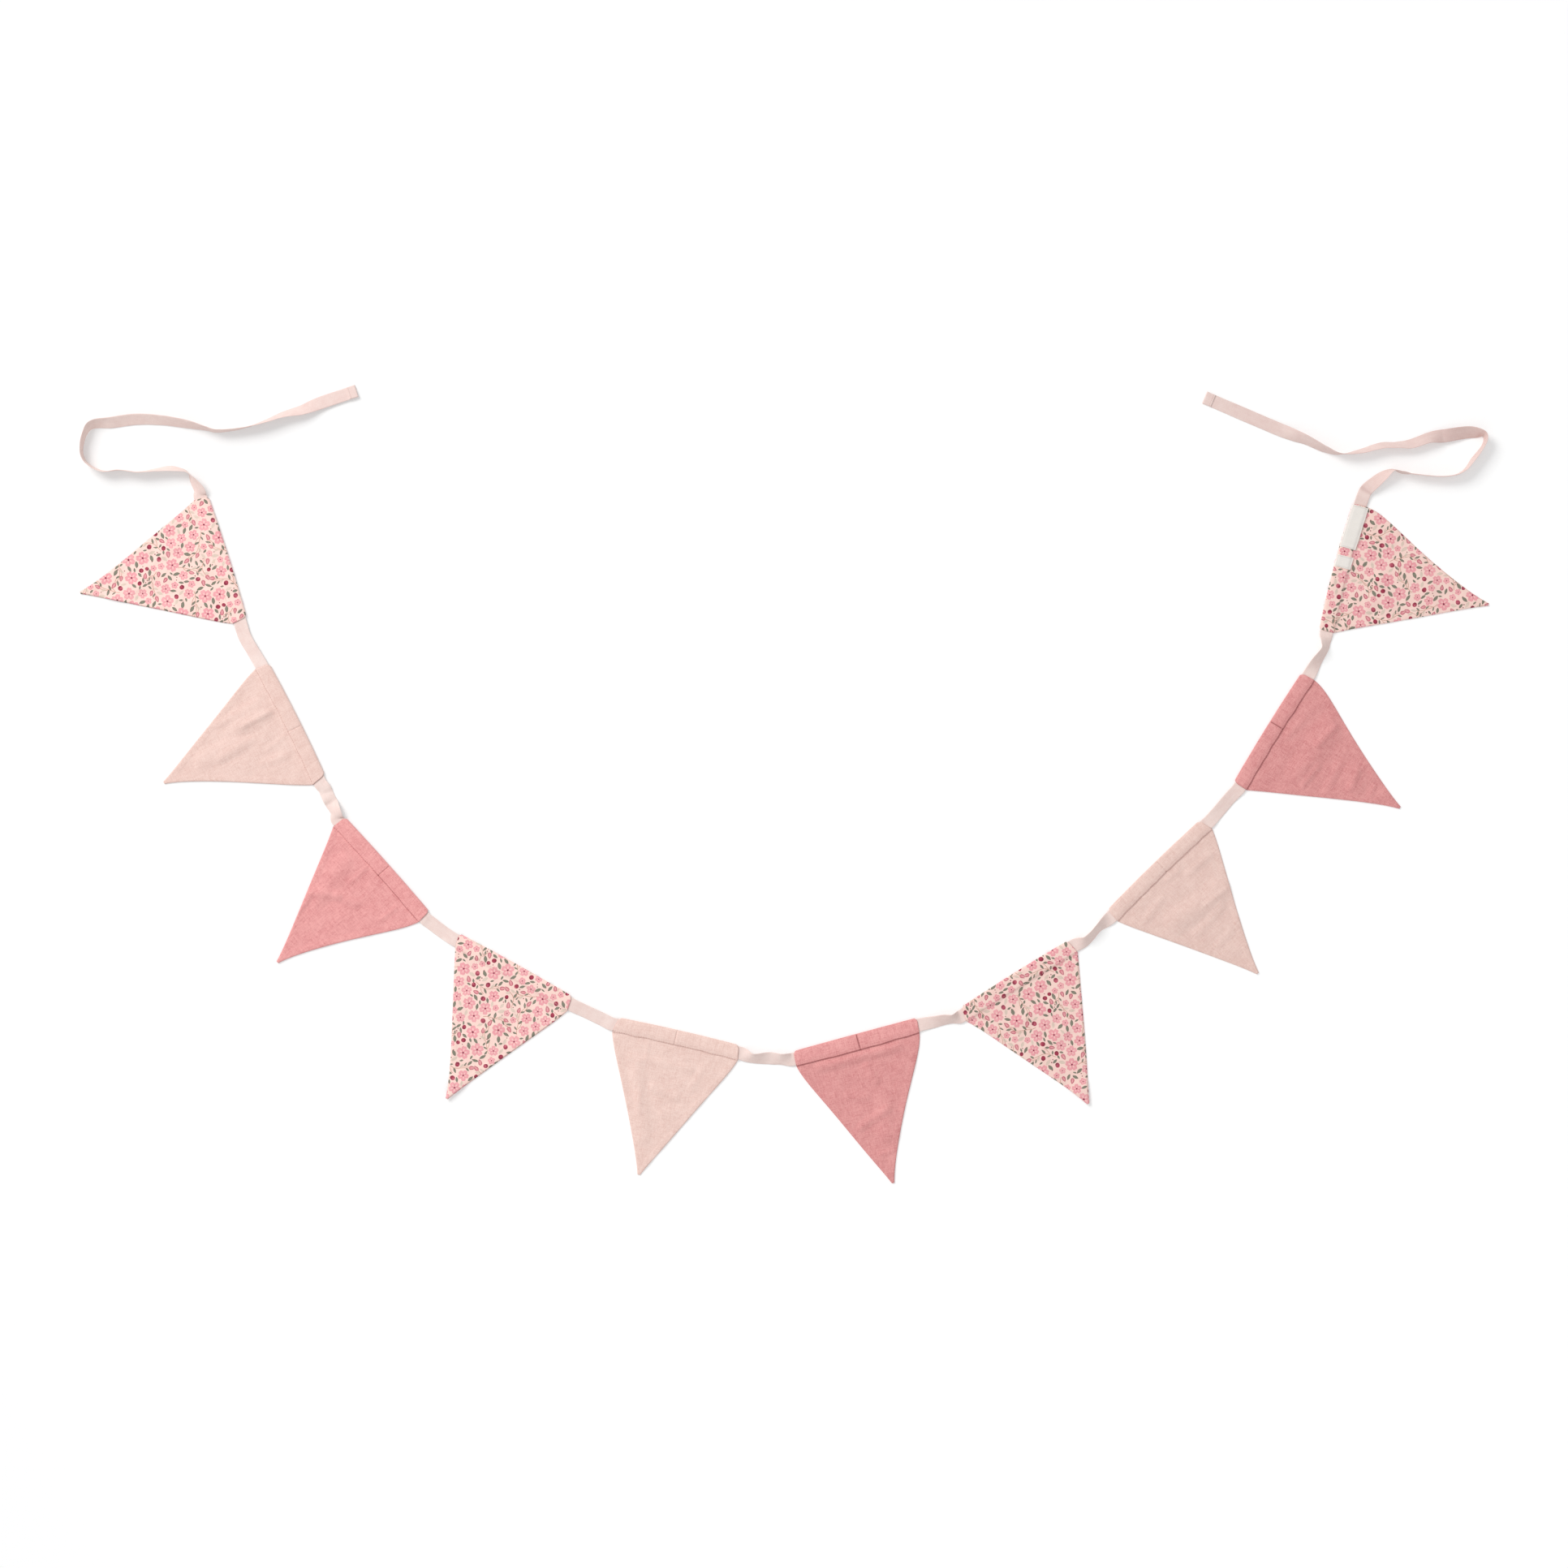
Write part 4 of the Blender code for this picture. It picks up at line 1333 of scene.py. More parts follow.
    def build(self, print_: Print | None) -> bpy.types.Object:
        """Makes the pennant's closed shell: outer faces, rims, and the channel for the tape.

        Args:
            print_: The print to stamp on it, or None.

        Returns:
            The piece.
        """
        across, out = self.grids()
        upper, lower = self.faces(across, out)
        shell = Shell()
        cloth = np.stack([across, out], axis=-1) * MM
        flap = np.stack([across, -out if self.front else out], axis=-1) * MM
        back = np.stack([across + BACK_APART, out], axis=-1) * MM
        rows = len(CASING_OUTS)
        top = shell.lay(self.place(across, out, upper), self.shade(across, out))
        under = shell.lay(self.place(across, out, lower))
        shell.skin(top[:rows], flap[:rows])
        shell.skin(top[rows - 1:], cloth[rows - 1:])
        shell.skin(under, back, flip=True)
        shell.rim(top[0], under[0], flap[0], flip=True)
        shell.rim(top[-1], under[-1], cloth[-1])
        self.open_channel(shell, across[:rows], out[:rows], top, under)
        piece, places = shell.build(self.name + "_cloth")
        if print_ is not None:
            print_.stamp(piece.data, self.printed(places / MM))
        return piece

    def open_channel(
        self, shell: Shell, across: Array, out: Array, top: Index, under: Index
    ) -> None:
        """Adds the channel's ceiling, floor and ends, and the rims at its two mouths.

        Its height over its own middle is a rounded slot's, and its faces look inwards.

        Args:
            shell: The pennant's shell.
            across: The casing's grid across.
            out: The casing's grid outwards.
            top: Numbers of the upper points.
            under: Numbers of the lower points.
        """
        start, end = self.slot
        inner = start + (end - start) * out / CASING_OUTS[-1]
        from_end = np.minimum(inner - start, end - inner)
        slot = rounded(from_end, 0.6)
        mouth = rounded(np.minimum(across - across[:, :1], across[:, -1:] - across), 0.9)
        down, up = (
            deep * slot + flare * (1.0 - mouth) * slot
            for deep, flare in zip(self.slot_deep, self.slot_flare)
        )
        floor, ceiling = self.slot_middle[0] - down, self.slot_middle[1] + up
        cloth = np.stack([across + 2 * BACK_APART, out], axis=-1) * MM
        # The channel's inside is darkened by painted shade.
        above = shell.lay(self.place(across, inner, ceiling), self.inside_shade)
        below = shell.lay(self.place(across, inner, floor), self.inside_shade)
        shell.skin(above, cloth, flip=True)
        shell.skin(below, cloth)
        shell.rim(above[0], below[0], cloth[0])
        shell.rim(above[-1], below[-1], cloth[-1], flip=True)
        rows = len(CASING_OUTS)
        for column, flip in ((0, False), (-1, True)):
            side = cloth[:, column]
            shell.rim(top[:rows, column], above[:, column], side, flip)
            shell.rim(below[:, column], under[:rows, column], side, flip)
            for row in (0, rows - 1):
                outer = np.array([top[row, column], under[row, column]])
                inside = np.array([above[row, column], below[row, column]])
                quad = [outer, inside] if row == 0 else [inside, outer]
                shell.skin(np.stack(quad, axis=1), np.broadcast_to(side[row], (2, 2, 2)), flip)
            upper = top[rows - 1:, column]
            outer = np.stack([self.drop - np.arange(len(upper)), upper * 0.0], axis=-1) * MM
            shell.rim(upper, under[rows - 1:, column], outer, flip)

    def printed(self, places: Array) -> Array:
        """Returns places on the printed cloth, each pennant cut elsewhere and turned a little."""
        lean = math.radians(self.seed * self.cut_turn)
        x = places[..., 0] * math.cos(lean) - places[..., 1] * math.sin(lean)
        y = places[..., 0] * math.sin(lean) + places[..., 1] * math.cos(lean)
        return np.stack([x, y], axis=-1) + np.array(self.cut_step) * self.seed

    def flat_area(self) -> float:
        """Returns the cut's flat area in square metres: the triangle and the folded casing."""
        body = 0.5 * self.width * (self.drop - self.casing)
        return (body + 2.0 * self.width * self.casing) * MM * MM

    def sew(self) -> bpy.types.Object:
        """Makes the row of stitches that holds the flap down, seen from above and below."""
        low, high = (float(v[0]) for v in self.sides(np.array([self.stitch_out])))
        middles = np.arange(low + 2.2, high - 1.6, self.stitch_pitch)
        out = np.full_like(middles, self.stitch_out)
        pair = []
        for shift in (-0.34 * self.stitch_pitch, 0.34 * self.stitch_pitch):
            above = self.place(middles + shift, out, self.top(middles + shift, out) + 0.1)
            below = self.place(middles + shift, out, out * 0.0 + 0.2)
            pair.append(np.concatenate([above, below]))
        return stitches(self.name + "_stitches", pair[0], pair[1], self.stitch_radius)


def stitches(name: str, starts: Array, ends: Array, radius: float) -> bpy.types.Object:
    """Makes many short rounded stitches as one mesh.

    Each is a six-sided bead along its own line, with radius r sqrt(1 - 0.995 t^2) for t from
    -1 to 1, closed by its narrow ends.

    Args:
        name: The piece's name.
        starts: One end of each stitch, in metres.
        ends: The other end.
        radius: The thread's radius in millimetres.

    Returns:
        The piece.
    """
    t = np.array([-1.0, -0.92, -0.5, 0.5, 0.92, 1.0])
    swell = radius * MM * np.sqrt(1.0 - 0.995 * t ** 2)
    turn = np.linspace(0.0, 2 * np.pi, 7)[:-1]
    run = ends - starts
    side = np.cross(run, (0.0, 0.0, 1.0))
    side /= np.linalg.norm(side, axis=1)[:, None]
    up = np.cross(side, run)
    up /= np.linalg.norm(up, axis=1)[:, None]
    middle = (starts + ends)[:, None] / 2 + t[None, :, None] * run[:, None] / 2
    ring = np.cos(turn)[:, None] * side[:, None, None] + np.sin(turn)[:, None] * up[:, None, None]
    points = middle[:, :, None] + swell[None, :, None, None] * ring
    count, rings, corners = points.shape[:3]
    index = np.arange(points[..., 0].size).reshape(count, rings, corners)
    after = np.roll(index, -1, axis=2)
    walls = np.stack([index[:, :-1], index[:, 1:], after[:, 1:], after[:, :-1]], axis=-1)
    caps = np.concatenate([index[:, 0], index[:, -1, ::-1]])
    mesh = bpy.data.meshes.new(name)
    mesh.from_pydata(points.reshape(-1, 3), [], [*walls.reshape(-1, 4).tolist(), *caps.tolist()])
    layer = mesh.uv_layers.new(name="cloth")
    loops = np.zeros(len(mesh.loops), np.int32)
    mesh.loops.foreach_get("vertex_index", loops)
    layer.data.foreach_set("uv", points.reshape(-1, 3)[loops][:, :2].astype(np.float32).ravel())
    mesh.shade_smooth()
    return added(name, mesh)


PENNANTS = (
    Pennant(
        "flag_01", Cloth.FLORAL, -686.0, 280.0, -72.4, 155.5, 186.5, -12.5, 1.2, None,
        Side(0.5, -1.0, -2.5, outline=0.25), Side(3.0, 1.5, 1.0, 1.1, 0.8),
        folds=(Crease(10.0, 150.0, -6.0, 100.0, 16.0, 1.2),),
        creases=(Crease(-38.0, 40.0, -20.0, 92.0, 9.0, 0.6), Crease(20.0, 60.0, 34.0, 38.0, 8.0, 0.5)),
        line=FootShade(0.12), mouths=(0.1, 0.5), front=False,
    ),
    Pennant(
        "flag_02", Cloth.LIGHT, -600.2, 79.7, -63.4, 153.0, 182.0, -3.5, 1.6, 0.06,
        Side(1.5, 1.5, 1.0), Side(4.5, 1.0, -3.0, outline=0.2),
        folds=(Crease(-26.0, 38.0, -24.0, 64.0, 17.0, 2.2), Crease(-8.0, 126.0, -4.0, 76.0, 16.0, 1.5)),
        creases=(
            Crease(-23.0, 28.0, -22.0, 62.0, 6.0, 0.9), Crease(-41.0, 36.0, -38.0, 88.0, 8.0, 0.8),
            Crease(-3.0, 62.0, 2.0, 108.0, 9.0, 0.7), Crease(34.0, 34.0, 30.0, 62.0, 8.0, 0.6),
            Crease(12.0, 24.0, 17.0, 50.0, 5.0, 0.35),
        ),
        line=FootShade(0.1), seam_shade=0.15, mouths=(0.1, 0.9), front=False, tone=0.03,
    ),
    Pennant(
        "flag_03", Cloth.DARK, -489.2, -98.9, -48.3, 155.5, 181.5, 0.0, 1.0, 0.02,
        Side(1.0, -0.5, -0.5), Side(1.0, 2.0, -3.0, outline=0.45),
        folds=(Crease(-38.0, 42.0, -26.0, 86.0, 17.0, 2.0),),
        creases=(
            Crease(-38.0, 93.0, -12.0, 72.0, 9.0, 1.3), Crease(-12.0, 72.0, 10.0, 62.0, 8.0, 1.0),
            Crease(-35.0, 96.0, -30.0, 122.0, 7.0, 0.8), Crease(-14.0, 26.0, -13.0, 50.0, 5.0, 0.6),
            Crease(47.0, 28.0, 46.0, 50.0, 4.5, 0.6), Crease(-58.0, 26.0, -34.0, 32.0, 6.0, 0.6),
        ),
        line=FootShade(0.95, 0.47), seam_shade=0.9, mouths=(0.2, 0.8), tone=-0.45,
    ),
    Pennant(
        "flag_04", Cloth.FLORAL, -331.0, -222.7, -29.1, 159.0, 185.5, 6.0, 1.2, None,
        Side(-4.5, 0.0, -2.0, outline=0.2), Side(3.5, 1.5, 0.5, 0.8, 0.6),
        folds=(Crease(6.0, 185.0, 7.0, 170.0, 22.0, 3.0),),
        creases=(Crease(-30.0, 60.0, 24.0, 52.0, 12.0, 0.5), Crease(-8.0, 110.0, 6.0, 90.0, 9.0, 0.5)),
        line=FootShade(0.08), mouths=(0.1, 0.9), front=False,
    ),
    Pennant(
        "flag_05", Cloth.LIGHT, -129.9, -304.6, -12.9, 151.0, 183.5, -9.0, 1.2, -0.015,
        Side(4.5, 1.5, -1.0, outline=0.1), Side(3.0, 2.0, 1.5, outline=0.4),
        folds=(Crease(-40.0, 56.0, -15.0, 136.0, 14.0, 1.6),),
        creases=(
            Crease(-50.0, 45.0, 24.0, 43.0, 8.0, 0.7), Crease(-16.0, 75.0, 14.0, 80.0, 8.0, 0.8),
            Crease(-31.0, 84.0, -26.0, 110.0, 7.0, 0.6), Crease(38.0, 40.0, 30.0, 66.0, 7.0, 0.5),
            Crease(-34.0, 24.0, -32.0, 42.0, 4.0, 0.4), Crease(2.0, 106.0, 12.0, 122.0, 7.0, 0.5),
        ),
        line=FootShade(0.4), seam_shade=0.2, mouths=(0.1, 0.9), tone=-0.2,
    ),
    Pennant(
        "flag_06", Cloth.DARK, 86.7, -308.6, 15.2, 157.5, 189.0, -2.5, 0.3, 0.01,
        Side(1.0, 2.5, 2.0, outline=0.15), Side(-1.5, 3.0, -2.5, outline=0.4),
        folds=(Crease(-50.0, 27.0, 46.0, 27.0, 11.0, 2.2), Crease(12.0, 96.0, 8.0, 128.0, 18.0, 1.6)),
        creases=(
            Crease(4.0, 42.0, 10.0, 62.0, 7.0, 1.0), Crease(-22.0, 112.0, 14.0, 99.0, 8.0, 1.1),
            Crease(-38.0, 30.0, -33.0, 62.0, 2.6, 0.3), Crease(17.0, 26.0, 24.0, 50.0, 2.6, 0.3),
            Crease(-8.0, 151.0, 7.0, 150.0, 5.0, 0.5), Crease(-28.0, 70.0, -8.0, 78.0, 8.0, 0.5),
        ),
        line=FootShade(0.95), seam_shade=1.1, mouths=(0.3, 0.8), sag=1.6, paling=0.55, tone=0.05,
    ),
    Pennant(
        "flag_07", Cloth.FLORAL, 283.0, -234.0, 32.0, 154.5, 184.0, -7.5, 1.2, None,
        Side(3.5, -1.5, -1.5, outline=0.1), Side(3.0, 0.5, 2.0, 1.4, 0.5),
        folds=(Crease(-7.0, 184.0, -5.0, 168.0, 22.0, 2.6),),
        creases=(Crease(-44.0, 50.0, 30.0, 58.0, 12.0, 0.6), Crease(-20.0, 96.0, 18.0, 92.0, 10.0, 0.5)),
        line=FootShade(0.12), mouths=(0.1, 0.6), front=False, tone=0.1,
    ),
    Pennant(
        "flag_08", Cloth.LIGHT, 454.2, -100.1, 44.2, 157.0, 185.5, -0.5, 1.3, 0.04,
        Side(1.0, 1.0, 0.0), Side(4.5, 1.0, -1.5, outline=0.3),
        folds=(Crease(-30.0, 70.0, 38.0, 79.0, 20.0, 2.8),),
        creases=(
            Crease(-52.0, 42.0, -22.0, 38.0, 7.0, 0.7), Crease(24.0, 38.0, 58.0, 40.0, 7.0, 0.7),
            Crease(-20.0, 98.0, 25.0, 96.0, 8.0, 0.6), Crease(-12.0, 126.0, 12.0, 124.0, 7.0, 0.5),
            Crease(-2.0, 26.0, 16.0, 27.0, 5.0, 0.4), Crease(12.0, 80.0, 44.0, 83.0, 5.0, 0.6),
        ),
        line=FootShade(0.38), seam_shade=0.12, mouths=(0.2, 0.2), tone=0.06,
    ),
    Pennant(
        "flag_09", Cloth.DARK, 594.9, 69.6, 58.2, 157.5, 191.0, 2.0, 1.3, 0.05,
        Side(0.5, -0.5, -2.0), Side(1.0, 3.5, -1.0, outline=0.2),
        folds=(Crease(-25.0, 62.0, 38.0, 66.0, 20.0, 2.8), Crease(-5.0, 130.0, 9.0, 120.0, 16.0, 1.8)),
        creases=(
            Crease(-38.0, 75.0, -8.0, 79.0, 6.0, 0.9), Crease(14.0, 64.0, 44.0, 70.0, 7.0, 1.0),
            Crease(-28.0, 103.0, 10.0, 99.0, 8.0, 0.7), Crease(-10.0, 126.0, 12.0, 123.0, 7.0, 0.8),
            Crease(4.0, 28.0, 34.0, 34.0, 7.0, 0.6), Crease(-4.0, 152.0, 8.0, 150.0, 5.0, 0.5),
        ),
        line=FootShade(0.85), seam_shade=1.0, mouths=(0.8, 0.3), tone=0.1,
    ),
    Pennant(
        "flag_10", Cloth.FLORAL, 679.1, 267.9, 75.1, 160.5, 194.0, 3.0, 2.5, None,
        Side(-0.5, -0.5, 0.0), Side(0.0, 4.0, -3.0, 1.1, 0.3),
        folds=(Crease(20.0, 80.0, 8.0, 120.0, 16.0, 1.4),),
        creases=(Crease(-40.0, 52.0, 10.0, 60.0, 12.0, 0.6), Crease(34.0, 34.0, 44.0, 60.0, 8.0, 0.5)),
        line=FootShade(0.25), mouths=(0.2, 0.5), front=False, tone=0.1,
    ),
)


# Tape


# The tape's stops from its first end to its last: x, y, tilt and lift
FIRST_TIE = (
    (-527.0, 484.0, 8.0, 0.0), (-569.0, 470.0, 11.0, 0.0), (-594.5, 460.0, 36.0, 0.0),
    (-616.5, 454.5, 57.0, 0.0), (-641.5, 445.0, 73.0, 0.0), (-667.0, 437.5, 88.0, 0.0),
    (-696.5, 434.0, 97.0, 0.0), (-712.0, 437.3, 104.0, 0.0), (-734.5, 442.5, 124.0, 0.0),
    (-766.5, 447.5, 134.0, 0.0), (-798.5, 448.7, 143.0, 0.0), (-828.5, 444.7, 141.0, 0.0),
    (-850.0, 442.5, 126.0, 0.0), (-859.5, 433.5, 103.0, 0.0), (-864.5, 416.0, 94.0, 0.0),
    (-863.0, 401.5, 93.0, 0.0), (-853.5, 391.0, 95.0, 0.0), (-838.0, 384.5, 98.0, 0.0),
    (-818.0, 386.0, 94.0, 0.0), (-796.0, 383.5, 97.0, 0.0), (-776.5, 385.8, 106.0, 0.0),
    (-758.0, 388.0, 117.0, 0.0), (-743.0, 386.3, 108.0, 0.0), (-734.0, 382.5, 88.0, 0.0),
    (-728.5, 374.0, 60.0, 0.0), (-720.5, 362.0, 30.0, 0.5),
)
LAST_TIE = (
    (715.5, 360.5, -8.0, 0.8), (726.0, 370.5, -25.0, 0.4), (737.0, 379.5, -46.0, 0.0),
    (748.5, 386.3, -78.0, 0.0), (760.0, 383.0, -94.0, 0.0), (778.0, 380.5, -82.0, 0.0),
    (811.5, 378.2, -84.0, 0.0), (833.5, 383.5, -86.0, 0.0), (848.5, 401.0, -78.0, 0.0),
    (860.5, 418.0, -84.0, 0.0), (861.5, 429.0, -78.0, 0.0), (852.0, 432.0, -45.0, 0.0),
    (838.5, 432.5, -25.0, 1.0), (812.5, 428.5, -3.0, 4.0), (793.5, 426.0, 32.0, 2.0),
    (771.5, 418.5, 40.0, 1.0), (753.5, 417.0, 57.0, 0.0), (733.5, 416.0, 58.0, 0.0),
    (708.5, 409.0, 68.0, 0.0), (683.5, 405.8, 90.0, 0.0), (663.5, 412.3, 114.0, 0.0),
    (643.5, 422.5, 127.0, 0.0), (626.5, 429.5, 150.0, 0.0), (608.5, 437.0, 172.0, 0.0),
    (573.5, 452.0, 178.0, 0.0), (517.5, 476.0, 176.0, 0.0),
)
GAPS = (
    ((-664.5, 180.5, 6.0, 0.0), (-655.0, 164.0, 6.0, 0.0)),
    ((-566.5, -6.0, 8.0, 0.0), (-560.5, -19.0, -8.0, 0.0), (-552.5, -34.0, 30.0, 0.0)),
    ((-436.0, -171.0, 3.0, 0.0), (-419.5, -183.5, 3.0, 0.0)),
    ((-245.5, -280.0, 4.0, 0.0), (-224.5, -290.0, 3.0, 0.0)),
    ((-39.5, -337.7, 40.0, 0.0), (-18.5, -337.7, 16.0, 0.0), (-3.5, -339.0, 30.0, 0.0)),
    ((183.5, -293.3, 18.0, 0.0), (196.5, -290.3, 33.0, 0.0), (207.5, -289.3, 42.0, 0.0)),
    ((369.5, -194.5, 36.0, 0.0), (377.5, -187.5, 47.0, 0.0), (387.5, -176.3, 48.0, 0.0)),
    ((533.5, -35.0, 8.0, 0.0), (547.5, -18.5, 8.0, 0.0)),
    ((655.0, 150.5, 30.0, 0.0), (664.5, 165.0, 48.0, 0.0), (666.3, 174.5, 36.0, 0.0)),
)
# Distance from the tape's first and last end in millimetres, and how much painted shade darkens it there,
# with a narrow painted crease shadow near the last end
FIRST_SHADES = ((0.0, 0.2), (110.0, 0.2), (220.0, 0.0))
LAST_SHADES = (
    (0.0, 0.16), (95.0, 0.22), (262.0, 0.28), (322.0, 0.5), (350.0, 0.46), (374.0, 0.28),
    (430.0, 0.2), (543.0, 0.26), (546.0, 0.55), (550.0, 0.08), (560.0, 0.2), (585.0, 0.05), (600.0, 0.0),
)


@dataclass
class Tape:
    """The long cotton tape, from one hemmed end through all the casings to the other.

    Its stops are x, y, tilt and lift: the tilt turns it about its own run in degrees, from
    flat at 0 to on edge at 90, and the lift raises its lower edge.

    Attributes:
        width: The tape's width in millimetres.
        thick: Its thickness.
        hem_thick: Its thickness where the end is turned in.
        hem: Length of each turned-in end.
        hem_ramp: Over what length the hem's thickness ends.
        step: From one row of points to the next.
        channel_lift: Height of its underside in a casing.
        channel_out: Where its middle runs in a casing, outwards.
        reach: How far it runs straight beyond a casing's mouth.
        inset: How far inside a mouth its next stop lies.
        stitch_in: From the hem's end to the stitches across it.
        back_apart: From the front's places on the flat cloth to the back's.
        bead: Height of the woven edges, as a share of the thickness.
        cup: How its width bends.
        crinkle: Its finer unevenness.
        spread: How its width varies, as a share.
        across: The places of the points across its width.
    """

    width: float = 16.0
    thick: float = 0.95
    hem_thick: float = 2.1
    hem: float = 11.0
    hem_ramp: float = 0.7
    step: float = 1.6
    channel_lift: float = 1.3
    channel_out: float = 9.5
    reach: float = 3.0
    inset: float = 3.0
    stitch_in: float = 2.2
    stitch_radius: float = 0.22
    back_apart: float = 100.0
    bead: float = 0.06
    cup: Waviness = Waviness(0.22, 34.0, 5)
    crinkle: Waviness = Waviness(0.1, 11.0, 6)
    spread: Waviness = Waviness(0.012, 60.0, 7)
    across: Array = field(
        default_factory=lambda: np.array(
            [-8.0, -7.88, -7.5, -6.9, -6.0, -4.2, -2.1, 0.0, 2.1, 4.2, 6.0, 6.9, 7.5, 7.88, 8.0]
        )
    )

    def channel(self, pennant: Pennant) -> Array:
        """Returns the tape's stops inside one casing, flat on the channel's floor."""
        half = pennant.width / 2
        start = -half - max(0.0, pennant.first.flare) - self.reach
        end = half + max(0.0, pennant.last.flare) + self.reach
        inner = half - self.inset
        across = np.array([start, -inner, -half / 3, half / 3, inner, end])
        spots = pennant.place(across, np.full(6, self.channel_out), np.zeros(6)) / MM
        return np.column_stack([spots[:, :2], np.zeros(6), np.full(6, self.channel_lift)])

    @staticmethod
    def spline(stops: Array, lead: Array, tail: Array, parts: int = 16) -> Array:
        """Returns a dense smooth line through stops.

        Each span is the cubic that leaves a stop along the chord of its two neighbours.

        Args:
            stops: The stops, one row each.
            lead: The row before the first stop.
            tail: The row after the last stop.
            parts: How many points a span gets.

        Returns:
            The line's rows.
        """
        rows = np.concatenate([[lead], stops, [tail]])
        t = (np.arange(parts) / parts)[None, :, None]
        before, start, end, after = (rows[k:len(rows) - 3 + k, None] for k in range(4))
        line = 0.5 * (
            2.0 * start + (end - before) * t + (2.0 * before - 5.0 * start + 4.0 * end - after) * t ** 2
            + (3.0 * start - before - 3.0 * end + after) * t ** 3
        )
        return np.concatenate([line.reshape(-1, rows.shape[1]), stops[-1:]])

    def line(self) -> tuple[Array, Array]:
        """Returns the whole tape's rows and how far each lies inside a casing, from 0 to 1.

        A row is x, y, tilt, lift and the distance from the first end. Rows are evenly spaced,
        and closer at both ends and where the hems stop.
        """
        channels = [self.channel(pennant) for pennant in PENNANTS]
        first = np.array([*FIRST_TIE, channels[0][0]])
        runs = [self.spline(first, 2 * first[0] - first[1], channels[0][1])]
        sewn = [np.zeros(len(runs[0]))]
        for number, channel in enumerate(channels):
            runs.append(channel[1:])
            sewn.append(np.ones(len(channel) - 1))
            if number < len(GAPS):
                follow = channels[number + 1]
                stops = np.array([channel[-1], *GAPS[number], follow[0]])
                gap = self.spline(stops, channel[-2], follow[1])[1:]
                runs.append(gap)
                sewn.append(np.zeros(len(gap)))
        last = np.array([channels[-1][-1], *LAST_TIE])
        tie = self.spline(last, channels[-1][-2], 2 * last[-1] - last[-2])[1:]
        runs.append(tie)
        sewn.append(np.zeros(len(tie)))
        rows = np.concatenate(runs)
        inside = np.concatenate(sewn)
        travelled = np.concatenate([[0.0], np.cumsum(np.hypot(*np.diff(rows[:, :2], axis=0).T))])
        total = travelled[-1]
        even = np.linspace(0.9, total - 0.9, round(total / self.step))
        spots = np.concatenate([[0.0, 0.25, 0.55], even, [total - 0.55, total - 0.25, total]])
        near_hem = np.array([self.hem - 0.3, self.hem, self.hem + 0.3, self.hem + 0.6])
        spots = np.sort(np.concatenate([spots, near_hem, total - near_hem]))
        read = [np.interp(spots, travelled, column) for column in (*rows.T, inside)]
        return np.column_stack([*read[:4], spots]), read[4]

    def frames(self, rows: Array) -> tuple[Array, Array, Array]:
        """Returns each row's vectors across and out of the tape, and its tilt in radians.

        Across is cos t to the left and sin t upwards for a tilt t, and the face is at right
        angles to it and to the run.
        """
        ahead = np.gradient(rows[:, :2], axis=0)
        ahead /= np.linalg.norm(ahead, axis=1)[:, None]
        tilt = np.radians(rows[:, 2])[:, None]
        flat = np.zeros((len(rows), 1))
        run = np.concatenate([ahead, flat], axis=1)
        left = np.concatenate([-ahead[:, 1:], ahead[:, :1], flat], axis=1)
        up = np.array([0.0, 0.0, 1.0])
        across = np.cos(tilt) * left + np.sin(tilt) * up
        return across, np.cross(run, across), tilt

    def middles(self, rows: Array, tilt: Array, thick: Array | float) -> Array:
        """Returns the places of the tape's middle, half its standing height over its lift.

        The standing height is w |sin t| + d |cos t|, for a width w, thickness d and tilt t.
        """
        rise = np.maximum(rows[:, 3], 0.0) + 0.5 * (
            self.width * np.abs(np.sin(tilt[:, 0])) + thick * np.abs(np.cos(tilt[:, 0]))
        )
        return np.column_stack([rows[:, :2], rise])

    def build(self) -> tuple[bpy.types.Object, float]:
        """Makes the tape: a thin rounded band swept along its line.

        Its section is d sqrt(1 - u^14) with a low bead near each edge, for u from -1 to 1
        across. Where it is free and stands up, its width bends by slow and quick waves.

        Returns:
            The piece and the tape's length in metres.
        """
        rows, inside = self.line()
        travelled = rows[:, 4]
        total = travelled[-1]
        across, face, tilt = self.frames(rows)
        from_end = np.minimum(travelled, total - travelled)
        hemmed = 1.0 - smooth_step(self.hem, self.hem + self.hem_ramp, from_end)
        thick = self.thick + (self.hem_thick - self.thick) * hemmed
        thick = thick * (0.3 + 0.7 * rounded(from_end, 0.9))
        free = (1.0 - inside)[:, None]
        centre = self.middles(rows, tilt, thick)
        share = np.abs(self.across) / (self.width / 2)
        profile = 0.5 * (1.0 - share ** 14) ** 0.5 + self.bead * bell(share - 0.88, 0.06)
        profile[[0, -1]] = 0.12
        level = travelled * 0.0
        cup = self.cup.lift(travelled, level)[:, None] * (1.0 - share ** 2)
        cup = cup + self.crinkle.lift(travelled[:, None], self.across[None])
        cup = cup * free * (np.abs(np.sin(tilt)) * 0.8 + 0.2)
        spread = self.across[None] * (1.0 + self.spread.lift(travelled, level)[:, None] * free)
        body = centre[:, None] + spread[..., None] * across[:, None] + cup[..., None] * face[:, None]
        half = (thick[:, None] * profile[None])[..., None] * face[:, None]
        shell = Shell()
        cloth = np.stack(np.broadcast_arrays(self.across[None], travelled[:, None]), axis=-1) * MM
        other = cloth + np.array([self.back_apart, 0.0]) * MM
